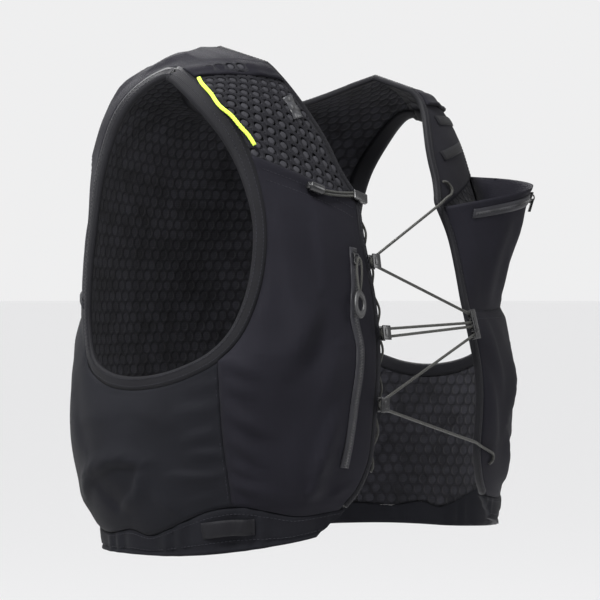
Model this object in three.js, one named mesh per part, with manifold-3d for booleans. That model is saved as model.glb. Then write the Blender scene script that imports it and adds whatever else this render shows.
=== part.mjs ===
// Running hydration vest, in millimetres, +Z up, the wearer facing -Y.
// The origin lies between the shoulders, where the vest rests on them.
import * as THREE from "three";
import { mergeVertices } from "three/addons/utils/BufferGeometryUtils.js";
import Module from "manifold-3d";

const wasm = await Module();
wasm.setup();

// Driving dimensions
const vestHeight = 372; // hem to shoulder
const halfWidth = 173; // middle to the side under the arm
const foreDepth = 131; // shoulder line to the belly
const aftDepth = 140; // shoulder line to the back
const lean = 0.08; // how much lower the left shoulder sits, as a share of the way across
const clearance = 0.3; // gap between pieces that touch
const bindingGap = 0.5; // gap between a binding and the cloth that it bounds
const panelWall = 2; // spacer mesh
const coverWall = 1.2; // stretch cloth
const bindingWall = 1; // how far a binding stands over its panel on each side
const armBandWidth = 9;
const edgeBandWidth = 4;
const frontPocketDepth = 9;
const lowerPocketDepth = 4;
const backSwellDepth = 6;
const backPocketDepth = 13;
const backPocketMouth = 8;
const chestPocketReach = 50;
const chestPocketDroop = 20; // how far the gaping mouth sags down the strap
const strapPocketMouth = 3;
const netPitch = 13.5; // middle to middle of the holes in the strap pocket
const netHole = 9;
const zipWidth = 8;
const zipTapeWall = 0.8;
const coilHeight = 1.6;
const coilWidth = 3;
const sliderWidth = 6;
const sliderHeight = 9;
const sliderWall = 1.6;
const sliderTab = 11;
const laceDiameter = 2.2;
const edgeCordDiameter = 1.8;
const limeCordDiameter = 3;
const drawcordDiameter = 2;
const hookWidth = 8;
const hookHeight = 11;
const hookPlate = 1.2;
const hookOut = 1.5; // how far past the front edge a hook is centred
const postDiameter = 3;
const railWidth = 7;
const railHeight = 23;
const railPostSpacing = 9;
const pullRingWidth = 12;
const pullRingHeight = 21;
const pullRingWire = 3;
const pullCordDiameter = 1.6;
const pullLoopWidth = 5;
const pullLoopHeight = 26;
const poleLoopWidth = 44;
const poleLoopHeight = 12;
const poleLoopRise = 3;
const webbingWall = 1;
const barWidth = 8;
const neckTabWidth = 9;
const cordLockLength = 12;
const cordLockDiameter = 8;
const endClipLength = 13;
const endClipWidth = 8;

// Tables: the body form and the cut lines on it. A level is the share of the way up the cloth from
// hem to collar, a turn is in degrees from the middle front (0) past the side (90) to the back (180).
const table = (columns, rows) =>
  rows.map((row) => Object.fromEntries(columns.map((column, index) => [column, row[index]])));

// Sections of the body: heights are shares of vestHeight, the rest of halfWidth and the two depths
const sections = table(
  ["level", "riseFront", "riseSide", "riseBack", "wide", "fore", "aft", "square"],
  [
    [0.0, 0.085, 0.003, 0.0, 0.983, 0.916, 0.757, 2.5],
    [0.17, 0.194, 0.188, 0.188, 1.0, 0.969, 0.886, 2.5],
    [0.31, 0.355, 0.355, 0.355, 1.0, 1.0, 0.95, 2.5],
    [0.45, 0.516, 0.516, 0.516, 0.988, 0.916, 0.993, 2.5],
    [0.58, 0.656, 0.672, 0.664, 0.96, 0.809, 0.971, 2.5],
    [0.69, 0.753, 0.796, 0.774, 0.931, 0.687, 0.957, 2.4],
    [0.79, 0.823, 0.898, 0.855, 0.884, 0.573, 0.879, 2.35],
    [0.88, 0.866, 0.968, 0.893, 0.734, 0.481, 0.75, 2.3],
    [1.0, 0.892, 1.005, 0.88, 0.462, 0.382, 0.45, 2.0],
  ],
);

// Front edge and neck line, from the rounded hem corner to the shoulder
const frontEdge = table(
  ["level", "turn"],
  [
    [0.0, 45],
    [0.015, 42.5],
    [0.03, 39.5],
    [0.055, 35.5],
    [0.09, 31.5],
    [0.135, 28.5],
    [0.18, 26.6],
    [0.25, 25.8],
    [0.36, 24],
    [0.44, 23.9],
    [0.5, 25],
    [0.56, 26.2],
    [0.635, 26.4],
    [0.66, 29.5],
    [0.69, 33],
    [0.73, 36.5],
    [0.77, 41],
    [0.815, 47.5],
    [0.88, 58],
    [0.93, 66],
    [0.962, 76],
    [0.975, 90],
  ],
);

// Armhole edge, a closed loop from the top down the front and up the back
const armhole = table(
  ["turn", "level"],
  [
    [91, 0.822],
    [82.5, 0.796],
    [76.8, 0.764],
    [69.8, 0.706],
    [64.8, 0.638],
    [61.8, 0.56],
    [62.3, 0.475],
    [66, 0.4],
    [71, 0.36],
    [78, 0.334],
    [86, 0.318],
    [96, 0.312],
    [105, 0.322],
    [112, 0.347],
    [115, 0.4],
    [116, 0.48],
    [115.5, 0.56],
    [114.5, 0.63],
    [111.5, 0.695],
    [106.5, 0.75],
    [99, 0.801],
  ],
);
const foreCorner = 8; // row of the armhole where the side seam ends
const aftCorner = 13; // row where the back seam ends
const stepsPerRow = 2;

// Upper edge of the hem band, gathered over the side seam
const hemTop = table(
  ["turn", "level"],
  [
    [0, 0.055],
    [40, 0.055],
    [50, 0.057],
    [57, 0.075],
    [64, 0.09],
    [71, 0.085],
    [78, 0.066],
    [84, 0.047],
    [89, 0.037],
    [95, 0.046],
    [104, 0.036],
    [118, 0.042],
    [180, 0.046],
  ],
);

// How high on the front edge each row of the front panel ends, against its height at the side
const frontRows = table(
  ["side", "edge"],
  [
    [0.0, 0.0],
    [0.2, 0.2],
    [0.36, 0.36],
    [0.5, 0.465],
    [0.6, 0.545],
    [0.68, 0.63],
    [0.74, 0.74],
    [0.79, 0.85],
    [0.82, 0.92],
    [0.838, 0.975],
  ],
);

// The same at the back: up the middle, then out along the collar
const backRows = table(
  ["side", "edge", "turn"],
  [
    [0.0, 0.0, 180],
    [0.2, 0.2, 180],
    [0.35, 0.36, 180],
    [0.45, 0.52, 180],
    [0.56, 0.74, 180],
    [0.63, 0.938, 180],
    [0.7, 0.941, 165],
    [0.76, 0.952, 143],
    [0.805, 0.964, 116],
    [0.838, 0.975, 90],
  ],
);
const collarStart = 0.63;

// Broad folds in the covers: ends in turn and level, height and breadth in shares of the pocket depth
const folds = table(
  ["side", "turnA", "levelA", "turnB", "levelB", "height", "breadth"],
  [
    [-1, 51, 0.34, 45, 0.44, 0.3, 1.2],
    [-1, 39, 0.25, 46, 0.15, 0.35, 1.3],
    [-1, 66, 0.21, 57, 0.16, 0.25, 1.0],
    [-1, 107, 0.135, 88, 0.165, 0.45, 1.2],
    [-1, 80, 0.235, 92, 0.25, 0.25, 1.1],
    [1, 50, 0.33, 44, 0.24, 0.3, 1.3],
    [1, 64, 0.2, 55, 0.17, 0.25, 1.0],
    [1, 104, 0.13, 86, 0.17, 0.4, 1.2],
  ],
);

// Number helpers
const mix = THREE.MathUtils.lerp;
const clamp = THREE.MathUtils.clamp;
const rise = THREE.MathUtils.smoothstep;
const radians = THREE.MathUtils.degToRad;
const hump = (at, low, high) => Math.sin(Math.PI * clamp((at - low) / (high - low), 0, 1));

// Reads every column of a table at a place between its rows, along one smooth curve
function readTable(rows, key, at) {
  const last = rows.length - 1;
  let index = rows.findIndex((row) => row[key] > at) - 1;
  if (index < -1) index = last - 1;
  index = clamp(index, 0, last - 1);
  const below = rows[index];
  const above = rows[index + 1];
  const span = above[key] - below[key];
  const share = (at - below[key]) / span;
  const slope = (row, column) => {
    const before = rows[Math.max(row - 1, 0)];
    const after = rows[Math.min(row + 1, last)];
    return (after[column] - before[column]) / (after[key] - before[key]);
  };
  const read = {};
  for (const column of Object.keys(below)) {
    const startSlope = slope(index, column) * span;
    const endSlope = slope(index + 1, column) * span;
    const cube = share ** 3;
    const square = share ** 2;
    read[column] =
      below[column] * (2 * cube - 3 * square + 1) +
      startSlope * (cube - 2 * square + share) +
      above[column] * (3 * square - 2 * cube) +
      endSlope * (cube - square);
  }
  return read;
}

// The body form: a rounded-square section at each level, higher at the sides than front and back
function formPoint(turn, level) {
  const section = readTable(sections, "level", level);
  const sine = Math.sin(radians(turn));
  const cosine = Math.cos(radians(turn));
  const front = cosine > 0;
  const depth = front ? section.fore * foreDepth : section.aft * aftDepth;
  const width = section.wide * halfWidth;
  const power = section.square;
  const reach = (Math.abs(sine / width) ** power + Math.abs(cosine / depth) ** power) ** (-1 / power);
  const endRise = front ? section.riseFront : section.riseBack;
  const sag = Math.abs(cosine) ** (front ? 2 : 1.4);
  const height = mix(section.riseSide, endRise, sag) * vestHeight - vestHeight;
  const drop = lean * reach * sine * rise(level, 0.35, 0.95);
  return new THREE.Vector3(reach * sine, -reach * cosine, height - drop);
}

const turnStep = 0.4;
const levelStep = 0.004;

function formSlopes(spot) {
  const { turn, level } = spot;
  const byTurn = formPoint(turn + turnStep, level).sub(formPoint(turn - turnStep, level));
  const byLevel = formPoint(turn, level + levelStep).sub(formPoint(turn, level - levelStep));
  byTurn.divideScalar(2 * turnStep);
  byLevel.divideScalar(2 * levelStep);
  const normal = byTurn.clone().cross(byLevel).normalize();
  return { byTurn, byLevel, normal };
}

// A point at a spot of the form, lifted off it
function lifted(spot, lift) {
  return formPoint(spot.turn, spot.level).addScaledVector(formSlopes(spot).normal, lift);
}

// Moves a spot over the form by a vector in millimetres
function moved(spot, vector) {
  const { byTurn, byLevel } = formSlopes(spot);
  const turnTurn = byTurn.dot(byTurn);
  const turnLevel = byTurn.dot(byLevel);
  const levelLevel = byLevel.dot(byLevel);
  const first = byTurn.dot(vector);
  const second = byLevel.dot(vector);
  const bottom = turnTurn * levelLevel - turnLevel ** 2;
  return {
    turn: spot.turn + (first * levelLevel - second * turnLevel) / bottom,
    level: spot.level + (second * turnTurn - first * turnLevel) / bottom,
  };
}

// The line beside a line of spots, to its right as seen from outside
function beside(spots, distance, closed = false) {
  const count = spots.length;
  return spots.map((spot, index) => {
    const before = spots[closed ? (index + count - 1) % count : Math.max(index - 1, 0)];
    const after = spots[closed ? (index + 1) % count : Math.min(index + 1, count - 1)];
    const along = formPoint(after.turn, after.level).sub(formPoint(before.turn, before.level));
    const { normal } = formSlopes(spot);
    const sideways = along.cross(normal).normalize().multiplyScalar(distance);
    return moved(spot, sideways);
  });
}

const between = (a, b, share) => ({ turn: mix(a.turn, b.turn, share), level: mix(a.level, b.level, share) });
const gapOf = (a, b) => formPoint(a.turn, a.level).distanceTo(formPoint(b.turn, b.level));

// A grid of spots ruled between two lines of equal length
function ruled(outer, inner, columns) {
  return outer.map((spot, row) =>
    Array.from({ length: columns + 1 }, (_, column) => between(spot, inner[row], column / columns)),
  );
}

const flipped = (spot) => ({ ...spot, turn: -spot.turn });
const flippedGrid = (grid) => grid.map((row) => row.map(flipped));

// Solids from shared vertices
function solid(points, triangles) {
  const geometry = new THREE.BufferGeometry();
  const corners = triangles.flat().map((index) => points[index]);
  geometry.setFromPoints(corners);
  return facingOut(mergeVertices(geometry, 1e-4));
}

function facingOut(geometry) {
  const place = geometry.getAttribute("position");
  const corner = (index) => new THREE.Vector3().fromBufferAttribute(place, geometry.index.getX(index));
  let volume = 0;
  for (let index = 0; index < geometry.index.count; index += 3) {
    volume += corner(index).dot(corner(index + 1).cross(corner(index + 2)));
  }
  if (volume < 0) {
    const order = geometry.index.array;
    for (let index = 0; index < order.length; index += 3) {
      [order[index], order[index + 1]] = [order[index + 1], order[index]];
    }
  }
  geometry.computeVertexNormals();
  return geometry;
}

// Cloth over one or more grids of spots: an inner and an outer face, and a wall along each free edge
function cloth(grids, innerLift, outerLift, joinRows = false) {
  const places = new Map();
  const inner = [];
  const outer = [];
  const vertex = (spot) => {
    const low = lifted(spot, innerLift(spot));
    const key = low.toArray().map((value) => Math.round(value * 500)).join(",");
    if (!places.has(key)) {
      places.set(key, inner.length);
      inner.push(low);
      outer.push(lifted(spot, outerLift(spot)));
    }
    return places.get(key);
  };
  const faces = [];
  for (const grid of grids) {
    const spots = joinRows ? [...grid, grid[0]] : grid;
    const mirrored = grid[0][0].turn < 0;
    for (let row = 0; row + 1 < spots.length; row += 1) {
      for (let column = 0; column + 1 < spots[row].length; column += 1) {
        const corners = [
          spots[row][column],
          spots[row][column + 1],
          spots[row + 1][column + 1],
          spots[row + 1][column],
        ];
        if (mirrored) corners.reverse();
        const [a, b, c, d] = corners.map(vertex);
        const shortFirst = gapOf(corners[0], corners[2]) < gapOf(corners[1], corners[3]);
        if (shortFirst) faces.push([a, b, c], [a, c, d]);
        else faces.push([a, b, d], [b, c, d]);
      }
    }
  }
  const count = inner.length;
  const used = new Map();
  for (const [a, b, c] of faces) {
    for (const [from, to] of [[a, b], [b, c], [c, a]]) used.set(`${from},${to}`, [from, to]);
  }
  const walls = [];
  for (const [from, to] of used.values()) {
    if (!used.has(`${to},${from}`)) {
      walls.push([from, to, to + count], [from, to + count, from + count]);
    }
  }
  const outerFaces = faces.map((face) => face.map((index) => index + count));
  const innerFaces = faces.map(([a, b, c]) => [a, c, b]);
  return solid([...inner, ...outer], [...outerFaces, ...innerFaces, ...walls]);
}

const flat = (height) => () => height;

// Joining and cutting
function bare(geometry) {
  const copy = geometry.clone();
  copy.deleteAttribute("normal");
  copy.deleteAttribute("uv");
  return mergeVertices(copy, 1e-4);
}

function toManifold(geometry) {
  const merged = bare(geometry);
  const vertProperties = new Float32Array(merged.getAttribute("position").array);
  const triVerts = new Uint32Array(merged.index.array);
  return new wasm.Manifold(new wasm.Mesh({ numProp: 3, vertProperties, triVerts }));
}

function fromManifold(body) {
  const mesh = body.getMesh();
  const geometry = new THREE.BufferGeometry();
  geometry.setAttribute("position", new THREE.BufferAttribute(new Float32Array(mesh.vertProperties), 3));
  geometry.setIndex(new THREE.BufferAttribute(new Uint32Array(mesh.triVerts), 1));
  geometry.computeVertexNormals();
  return geometry;
}

const joined = (...geometries) => fromManifold(geometries.map(toManifold).reduce((a, b) => a.add(b)));
const cut = (geometry, ...cutters) =>
  fromManifold(cutters.map(toManifold).reduce((body, cutter) => body.subtract(cutter), toManifold(geometry)));

// A frame at a spot: x along the front edge's outward side, y up the form, z off the form
function frameAt(spot, lift, tilt = 0) {
  const { byLevel, normal } = formSlopes(spot);
  const upward = byLevel.clone().addScaledVector(normal, -byLevel.dot(normal)).normalize();
  const sideways = upward.clone().cross(normal);
  const matrix = new THREE.Matrix4().makeBasis(sideways, upward, normal);
  matrix.multiply(new THREE.Matrix4().makeRotationZ(radians(tilt)));
  matrix.setPosition(lifted(spot, lift));
  return matrix;
}

const placed = (geometry, matrix) => geometry.clone().applyMatrix4(matrix);

// A flat plate with rounded corners, centred, its back on z = 0
function plate(width, height, wall, corner) {
  const shape = new THREE.Shape();
  const x = width / 2;
  const y = height / 2;
  shape.moveTo(-x + corner, -y);
  shape.lineTo(x - corner, -y);
  shape.absarc(x - corner, -y + corner, corner, -Math.PI / 2, 0);
  shape.lineTo(x, y - corner);
  shape.absarc(x - corner, y - corner, corner, 0, Math.PI / 2);
  shape.lineTo(-x + corner, y);
  shape.absarc(-x + corner, y - corner, corner, Math.PI / 2, Math.PI);
  shape.lineTo(-x, -y + corner);
  shape.absarc(-x + corner, -y + corner, corner, Math.PI, Math.PI * 1.5);
  return new THREE.ExtrudeGeometry(shape, { depth: wall, bevelEnabled: false, curveSegments: 2 });
}

// A path straight from point to point, with one step of a tube for each
class PointPath extends THREE.Curve {
  constructor(points) {
    super();
    this.points = points;
  }
  getPoint(share) {
    const last = this.points.length - 1;
    const index = clamp(Math.floor(share * last + 1e-6), 0, last - 1);
    return this.points[index].clone().lerp(this.points[index + 1], share * last - index);
  }
  getPointAt(share) {
    return this.getPoint(share);
  }
  getTangentAt(share) {
    const half = 0.5 / (this.points.length - 1);
    const before = this.getPoint(clamp(share - half, 0, 1));
    return this.getPoint(clamp(share + half, 0, 1)).sub(before).normalize();
  }
}

// A round cord from point to point
const cordSides = 8;
function cord(points, diameter) {
  const shape = new THREE.Shape();
  for (let side = 0; side < cordSides; side += 1) {
    const angle = (2 * Math.PI * side) / cordSides;
    const x = (diameter / 2) * Math.cos(angle);
    const y = (diameter / 2) * Math.sin(angle);
    if (side === 0) shape.moveTo(x, y);
    else shape.lineTo(x, y);
  }
  const extrudePath = new PointPath(points);
  const settings = { steps: points.length - 1, extrudePath, bevelEnabled: false };
  return facingOut(bare(new THREE.ExtrudeGeometry(shape, settings)));
}

// A closed ring of round wire along an oval
function ovalRing(width, height, wire, steps, sides) {
  const points = Array.from({ length: steps }, (_, index) => {
    const angle = (2 * Math.PI * index) / steps;
    return new THREE.Vector3((width / 2) * Math.cos(angle), (height / 2) * Math.sin(angle), 0);
  });
  const path = new THREE.CatmullRomCurve3(points, true, "centripetal");
  return facingOut(bare(new THREE.TubeGeometry(path, steps, wire / 2, sides, true)));
}

// Colours
const colours = {
  spacer: { color: 0x2b2c2f, roughness: 0.9, metalness: 0 },
  stretch: { color: 0x2a2c31, roughness: 0.75, metalness: 0 },
  binding: { color: 0x232428, roughness: 0.7, metalness: 0 },
  net: { color: 0x2e3034, roughness: 0.85, metalness: 0 },
  plastic: { color: 0x1d1e20, roughness: 0.35, metalness: 0 },
  rubber: { color: 0x232426, roughness: 0.6, metalness: 0 },
  lace: { color: 0x3e3e3a, roughness: 0.8, metalness: 0 },
  lime: { color: 0xdcf55f, roughness: 0.6, metalness: 0 },
};

const vest = new THREE.Group();
function add(name, geometry, colour) {
  const mesh = new THREE.Mesh(geometry, new THREE.MeshStandardMaterial(colours[colour]));
  mesh.name = name;
  vest.add(mesh);
}
function addPair(name, geometryOf, colour) {
  add(`${name}_right`, geometryOf(-1), colour);
  add(`${name}_left`, geometryOf(1), colour);
}

// Cut lines on the left half; the right half is their mirror image
const tableTurns = (rows, level) => readTable(rows, "level", level).turn;

function armholeSpots() {
  const points = armhole.map((row) => new THREE.Vector3(row.turn, row.level * 100, 0));
  const path = new THREE.CatmullRomCurve3(points, true, "centripetal");
  const count = armhole.length * stepsPerRow;
  return Array.from({ length: count }, (_, index) => {
    const at = path.getPoint(index / count);
    return { turn: at.x, level: at.y / 100 };
  });
}

const armEdge = armholeSpots();
const armSeam = beside(armEdge, armBandWidth, true);
const armPanelEdge = beside(armEdge, armBandWidth + bindingGap, true);
const foreCount = foreCorner * stepsPerRow;
const aftCount = aftCorner * stepsPerRow;
const seamRows = 7;
const bodyColumns = 5;
const hemLevel = (turn) => readTable(hemTop, "turn", Math.abs(turn)).level;
const bandTurn = { fore: 66, aft: 114 };

// Lifts the lower rows so that they start from the gathered upper edge of the hem band
function gathered(spot, gap) {
  const fade = 1 - rise(spot.level, 0, 0.25);
  const start = hemLevel(spot.turn) + gap / vestHeight;
  return { turn: spot.turn, level: spot.level + start * fade };
}

// A seam line from the hem to a corner of the armhole
function seamLine(hemTurn, top) {
  return Array.from({ length: seamRows }, (_, row) => between({ turn: hemTurn, level: 0 }, top, row / seamRows));
}

const halfGap = clearance / 2;
const across = (spot, distance) => moved(spot, formSlopes(spot).byTurn.normalize().multiplyScalar(distance));

const foreTop = armPanelEdge[foreCount];
const aftTop = armPanelEdge[aftCount];
const foreSeam = seamLine(bandTurn.fore, foreTop);
const aftSeam = seamLine(bandTurn.aft, aftTop);

// Front panel: the side seam and the armhole on the outside, the front edge and neck on the inside
const frontOuter = [
  ...foreSeam.map((spot) => across(spot, -halfGap)),
  ...Array.from({ length: foreCount + 1 }, (_, step) => armPanelEdge[foreCount - step]),
];
const seamHeights = (top) => Array.from({ length: seamRows }, (_, row) => (top * row) / seamRows);
const frontHeights = [
  ...seamHeights(armEdge[foreCount].level),
  ...Array.from({ length: foreCount + 1 }, (_, step) => armEdge[foreCount - step].level),
];
const frontEdgeLine = frontHeights.map((height) => {
  const level = readTable(frontRows, "side", height).edge;
  return { turn: tableTurns(frontEdge, level), level };
});
const lastFront = frontOuter.length - 1;
frontEdgeLine[lastFront] = { turn: 90, level: frontEdge.at(-1).level };

// Back panel: the back seam and the armhole outside, the middle of the back and the collar inside
const backOuter = [
  ...aftSeam.map((spot) => across(spot, halfGap)),
  ...Array.from({ length: armEdge.length - aftCount }, (_, step) => armPanelEdge[aftCount + step]),
  armPanelEdge[0],
];
const lastBack = backOuter.length - 1;
const backHeights = [
  ...seamHeights(armEdge[aftCount].level),
  ...armEdge.slice(aftCount).map((spot) => spot.level),
  armhole[0].level,
];
const backInner = backHeights.map((height) => {
  const read = readTable(backRows, "side", height);
  if (height <= collarStart) return { turn: 180, level: read.edge };
  return { turn: clamp(read.turn, 90, 180), level: read.edge };
});
const firstCollar = backInner.findIndex((spot) => spot.turn < 180) - 1;
backInner[firstCollar] = { turn: 180, level: readTable(backRows, "side", collarStart).edge };
const collarLine = backInner.slice(firstCollar, lastBack).reverse();

// The bound edge runs from the hem corner up the front, round the neck and to the middle of the back
const onFrontEdge = (level) => ({ turn: tableTurns(frontEdge, level), level });
const gatheredEdge = frontEdgeLine.map((spot, row) =>
  row < lastFront ? onFrontEdge(gathered(spot, bindingGap).level) : spot,
);
const boundEdge = [...gatheredEdge, ...collarLine];
const boundSeam = beside(boundEdge, edgeBandWidth);
const boundPanelEdge = beside(boundEdge, edgeBandWidth + bindingGap);
const middle = boundEdge.length - 1;
for (const line of [boundSeam, boundPanelEdge]) {
  line[middle].turn = 180;
  const share = (line[1].level - boundEdge[0].level) / (line[1].level - line[0].level);
  line[0] = between(line[1], line[0], share);
}

const frontInner = boundPanelEdge.slice(0, lastFront + 1);
const backEdge = backInner.map((spot, row) =>
  row < firstCollar ? gathered(spot, clearance) : boundPanelEdge[lastFront + lastBack - row],
);
const frontGrid = ruled(
  frontOuter.map((spot) => gathered(spot, clearance)),
  frontInner,
  bodyColumns,
);
const backOuterLine = backOuter.map((spot) => gathered(spot, clearance));
const backGrid = ruled(backOuterLine, backEdge, bodyColumns);
// The lowest row follows the gathers across its width
const hemRow = (row) => row.map((spot) => ({ turn: spot.turn, level: hemLevel(spot.turn) + clearance / vestHeight }));
frontGrid[0] = hemRow(frontGrid[0]);
backGrid[0] = hemRow(backGrid[0]);
// The shoulder seam keeps its gap
backGrid[lastBack] = backGrid[lastBack].map((spot) => across(spot, clearance));

// Side panel: under the armhole, between the two seams
const sideTop = armPanelEdge.slice(foreCount, aftCount + 1);
const sideColumns = sideTop.length - 1;
const sideGrid = Array.from({ length: seamRows + 1 }, (_, row) =>
  sideTop.map((top, column) => {
    const foot = { turn: mix(bandTurn.fore, bandTurn.aft, column / sideColumns), level: 0 };
    let spot = between(foot, top, row / seamRows);
    if (row === 0) spot = hemRow([spot])[0];
    else if (row < seamRows) spot = gathered(spot, clearance);
    if (column === 0) spot = across(spot, halfGap);
    if (column === sideColumns) spot = across(spot, -halfGap);
    return spot;
  }),
);

const bothSides = (grid) => [grid, flippedGrid(grid)];
const oneSide = (grid, side) => [side > 0 ? grid : flippedGrid(grid)];

// Base layer
addPair("front_panel", (side) => cloth(oneSide(frontGrid, side), flat(0), flat(panelWall)), "spacer");
addPair("side_panel", (side) => cloth(oneSide(sideGrid, side), flat(0), flat(panelWall)), "spacer");
add("back_panel", cloth(bothSides(backGrid), flat(0), flat(panelWall)), "spacer");

// Bindings
const bindingLow = flat(-bindingWall);
const coverLift = panelWall + clearance;
const bindingHigh = flat(coverLift + coverWall + bindingWall / 2);
const armBandGrid = armEdge.map((spot, index) => [spot, armSeam[index]]);
addPair(
  "armhole_binding",
  (side) => cloth(oneSide(armBandGrid, side), bindingLow, bindingHigh, true),
  "binding",
);
const edgeBandGrid = boundEdge.map((spot, index) => [spot, boundSeam[index]]);
edgeBandGrid[middle] = edgeBandGrid[middle].map((spot) => across(spot, -halfGap));
addPair("edge_binding", (side) => cloth(oneSide(edgeBandGrid, side), bindingLow, bindingHigh), "binding");

// Hem band: from the rounded front corner round the body, its upper edge gathered
const cornerTurn = boundEdge[0].turn;
const hemTurns = [
  cornerTurn,
  ...[...frontGrid[0]].reverse().map((spot) => spot.turn),
  ...sideGrid[0].map((spot) => spot.turn),
  ...backGrid[0].map((spot) => spot.turn),
].map((turn) => Math.min(turn, 180));
const hemGrid = hemTurns.map((turn) =>
  [0, 0.5, 1].map((share) => {
    const level = share * hemLevel(turn);
    const corner = tableTurns(frontEdge, share * hemLevel(cornerTurn));
    const beyond = clamp((turn - cornerTurn) / (bandTurn.fore - cornerTurn), 0, 1);
    return { turn: turn + (1 - beyond) * (corner - cornerTurn), level };
  }),
);
const hemBand = cloth(bothSides(hemGrid), bindingLow, bindingHigh);
add("hem_band", hemBand, "stretch");

// Covers: stretch cloth over the panels, each with the swell of what it holds
const withShares = (grid) =>
  grid.map((row, along) =>
    row.map((spot, across) => ({
      ...spot,
      along: along / (grid.length - 1),
      across: across / (row.length - 1),
    })),
  );

// Pulls the first row of a grid back from the piece below it
function trimmed(grid, gap) {
  const [first, second, ...rest] = grid;
  const start = first.map((spot, column) => {
    const next = second[column];
    return between(spot, next, gap / gapOf(spot, next));
  });
  return [start, second, ...rest];
}

// Height of the folds at a spot, as a share of the depth of the pocket
function foldHeight(spot, depth) {
  let height = 0;
  for (const fold of folds) {
    if (fold.side * spot.turn < 0) continue;
    const start = formPoint(fold.side * fold.turnA, fold.levelA);
    const end = formPoint(fold.side * fold.turnB, fold.levelB);
    const line = new THREE.Line3(start, end);
    const here = formPoint(spot.turn, spot.level);
    const nearest = line.closestPointToPoint(here, true, new THREE.Vector3());
    const distance = nearest.distanceTo(here) / (fold.breadth * depth);
    height += fold.height * depth * Math.exp(-(distance ** 2));
  }
  return height;
}

const armRow = (row) => seamRows + foreCount - row * stepsPerRow;
const mouthRow = armRow(3.5); // the pocket's mouth, across the chest
const chestRow = armRow(6.5); // foot of the flared chest pocket
const flapRow = armRow(0.5); // edge of the flap on the shoulder
const pillow = (spot) => hump(spot.across, 0, 1) ** 0.6 * hump(spot.along, 0, 1) ** 0.6;
const coverPair = (lift) => [
  (spot) => coverLift + lift(spot),
  (spot) => coverLift + coverWall + lift(spot),
];

const frontPocketGrid = withShares(frontGrid.slice(0, mouthRow + 1));
const frontPocketLift = (spot) => pillow(spot) * (frontPocketDepth + foldHeight(spot, frontPocketDepth));
const frontPocket = cloth(oneSide(frontPocketGrid, -1), ...coverPair(frontPocketLift));
add("front_pocket_right", frontPocket, "stretch");

const lowerPocketGrid = withShares(frontGrid.slice(0, chestRow + 1));
const lowerPocketLift = (spot) => pillow(spot) * (lowerPocketDepth + foldHeight(spot, frontPocketDepth));
const lowerPocket = cloth([lowerPocketGrid], ...coverPair(lowerPocketLift));
add("lower_pocket_left", lowerPocket, "stretch");

// The chest pocket on the left gapes: its mouth stands off towards the armhole side
const chestOpen = (spot) => hump(spot.across ** 0.65, 0, 1) ** 0.8 * spot.along ** 1.2;
const chestLift = (spot) => chestPocketReach * chestOpen(spot);
const drooped = (spot) => ({
  ...spot,
  ...moved(spot, new THREE.Vector3(0, 0, -chestPocketDroop * chestOpen(spot))),
});
const chestGrid = withShares(trimmed(frontGrid.slice(chestRow, mouthRow + 1), clearance)).map((row) =>
  row.map(drooped),
);
const chestPocket = cloth([chestGrid], ...coverPair(chestLift));
add("chest_pocket_left", chestPocket, "stretch");

// Strap pocket on the right: open net, its mouth under the flap
const strapGrid = withShares(trimmed(frontGrid.slice(mouthRow, flapRow + 1), clearance));
const strapLift = (spot) => strapPocketMouth * hump(spot.across, 0, 1) ** 0.6 * spot.along ** 1.5;
const strapPocket = cloth(oneSide(strapGrid, -1), ...coverPair(strapLift));

function netHoles(grid, side, lift) {
  const holes = [];
  const rows = grid.length - 1;
  const columns = grid[0].length - 1;
  const spotAt = (along, across) => {
    const row = clamp(Math.floor(along * rows), 0, rows - 1);
    const column = clamp(Math.floor(across * columns), 0, columns - 1);
    const alongShare = along * rows - row;
    const acrossShare = across * columns - column;
    const low = between(grid[row][column], grid[row][column + 1], acrossShare);
    const high = between(grid[row + 1][column], grid[row + 1][column + 1], acrossShare);
    return { ...between(low, high, alongShare), along, across };
  };
  const margin = 0.6 * netPitch;
  const length = gapOf(spotAt(0, 0.5), spotAt(0.5, 0.5)) + gapOf(spotAt(0.5, 0.5), spotAt(1, 0.5));
  const rowPitch = netPitch * Math.sin(Math.PI / 3);
  const rowCount = Math.floor((length - 2 * margin) / rowPitch);
  for (let index = 0; index <= rowCount; index += 1) {
    const along = (margin + index * rowPitch) / length;
    const width = gapOf(spotAt(along, 0), spotAt(along, 0.5)) + gapOf(spotAt(along, 0.5), spotAt(along, 1));
    const start = margin + (index % 2) * (netPitch / 2);
    for (let offset = start; offset < width - margin; offset += netPitch) {
      const spot = spotAt(along, offset / width);
      const hole = new THREE.CylinderGeometry(netHole / 2, netHole / 2, 4 * coverWall, 6);
      hole.rotateX(Math.PI / 2);
      const there = side > 0 ? spot : flipped(spot);
      holes.push(placed(hole, frameAt(there, coverLift + lift(spot) + coverWall / 2)));
    }
  }
  return holes;
}
const strapNet = cut(strapPocket, ...netHoles(strapGrid, -1, strapLift));
add("strap_pocket_right", strapNet, "net");
const strapCover = cloth([strapGrid], ...coverPair(flat(0)));
add("strap_cover_left", strapCover, "stretch");

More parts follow.
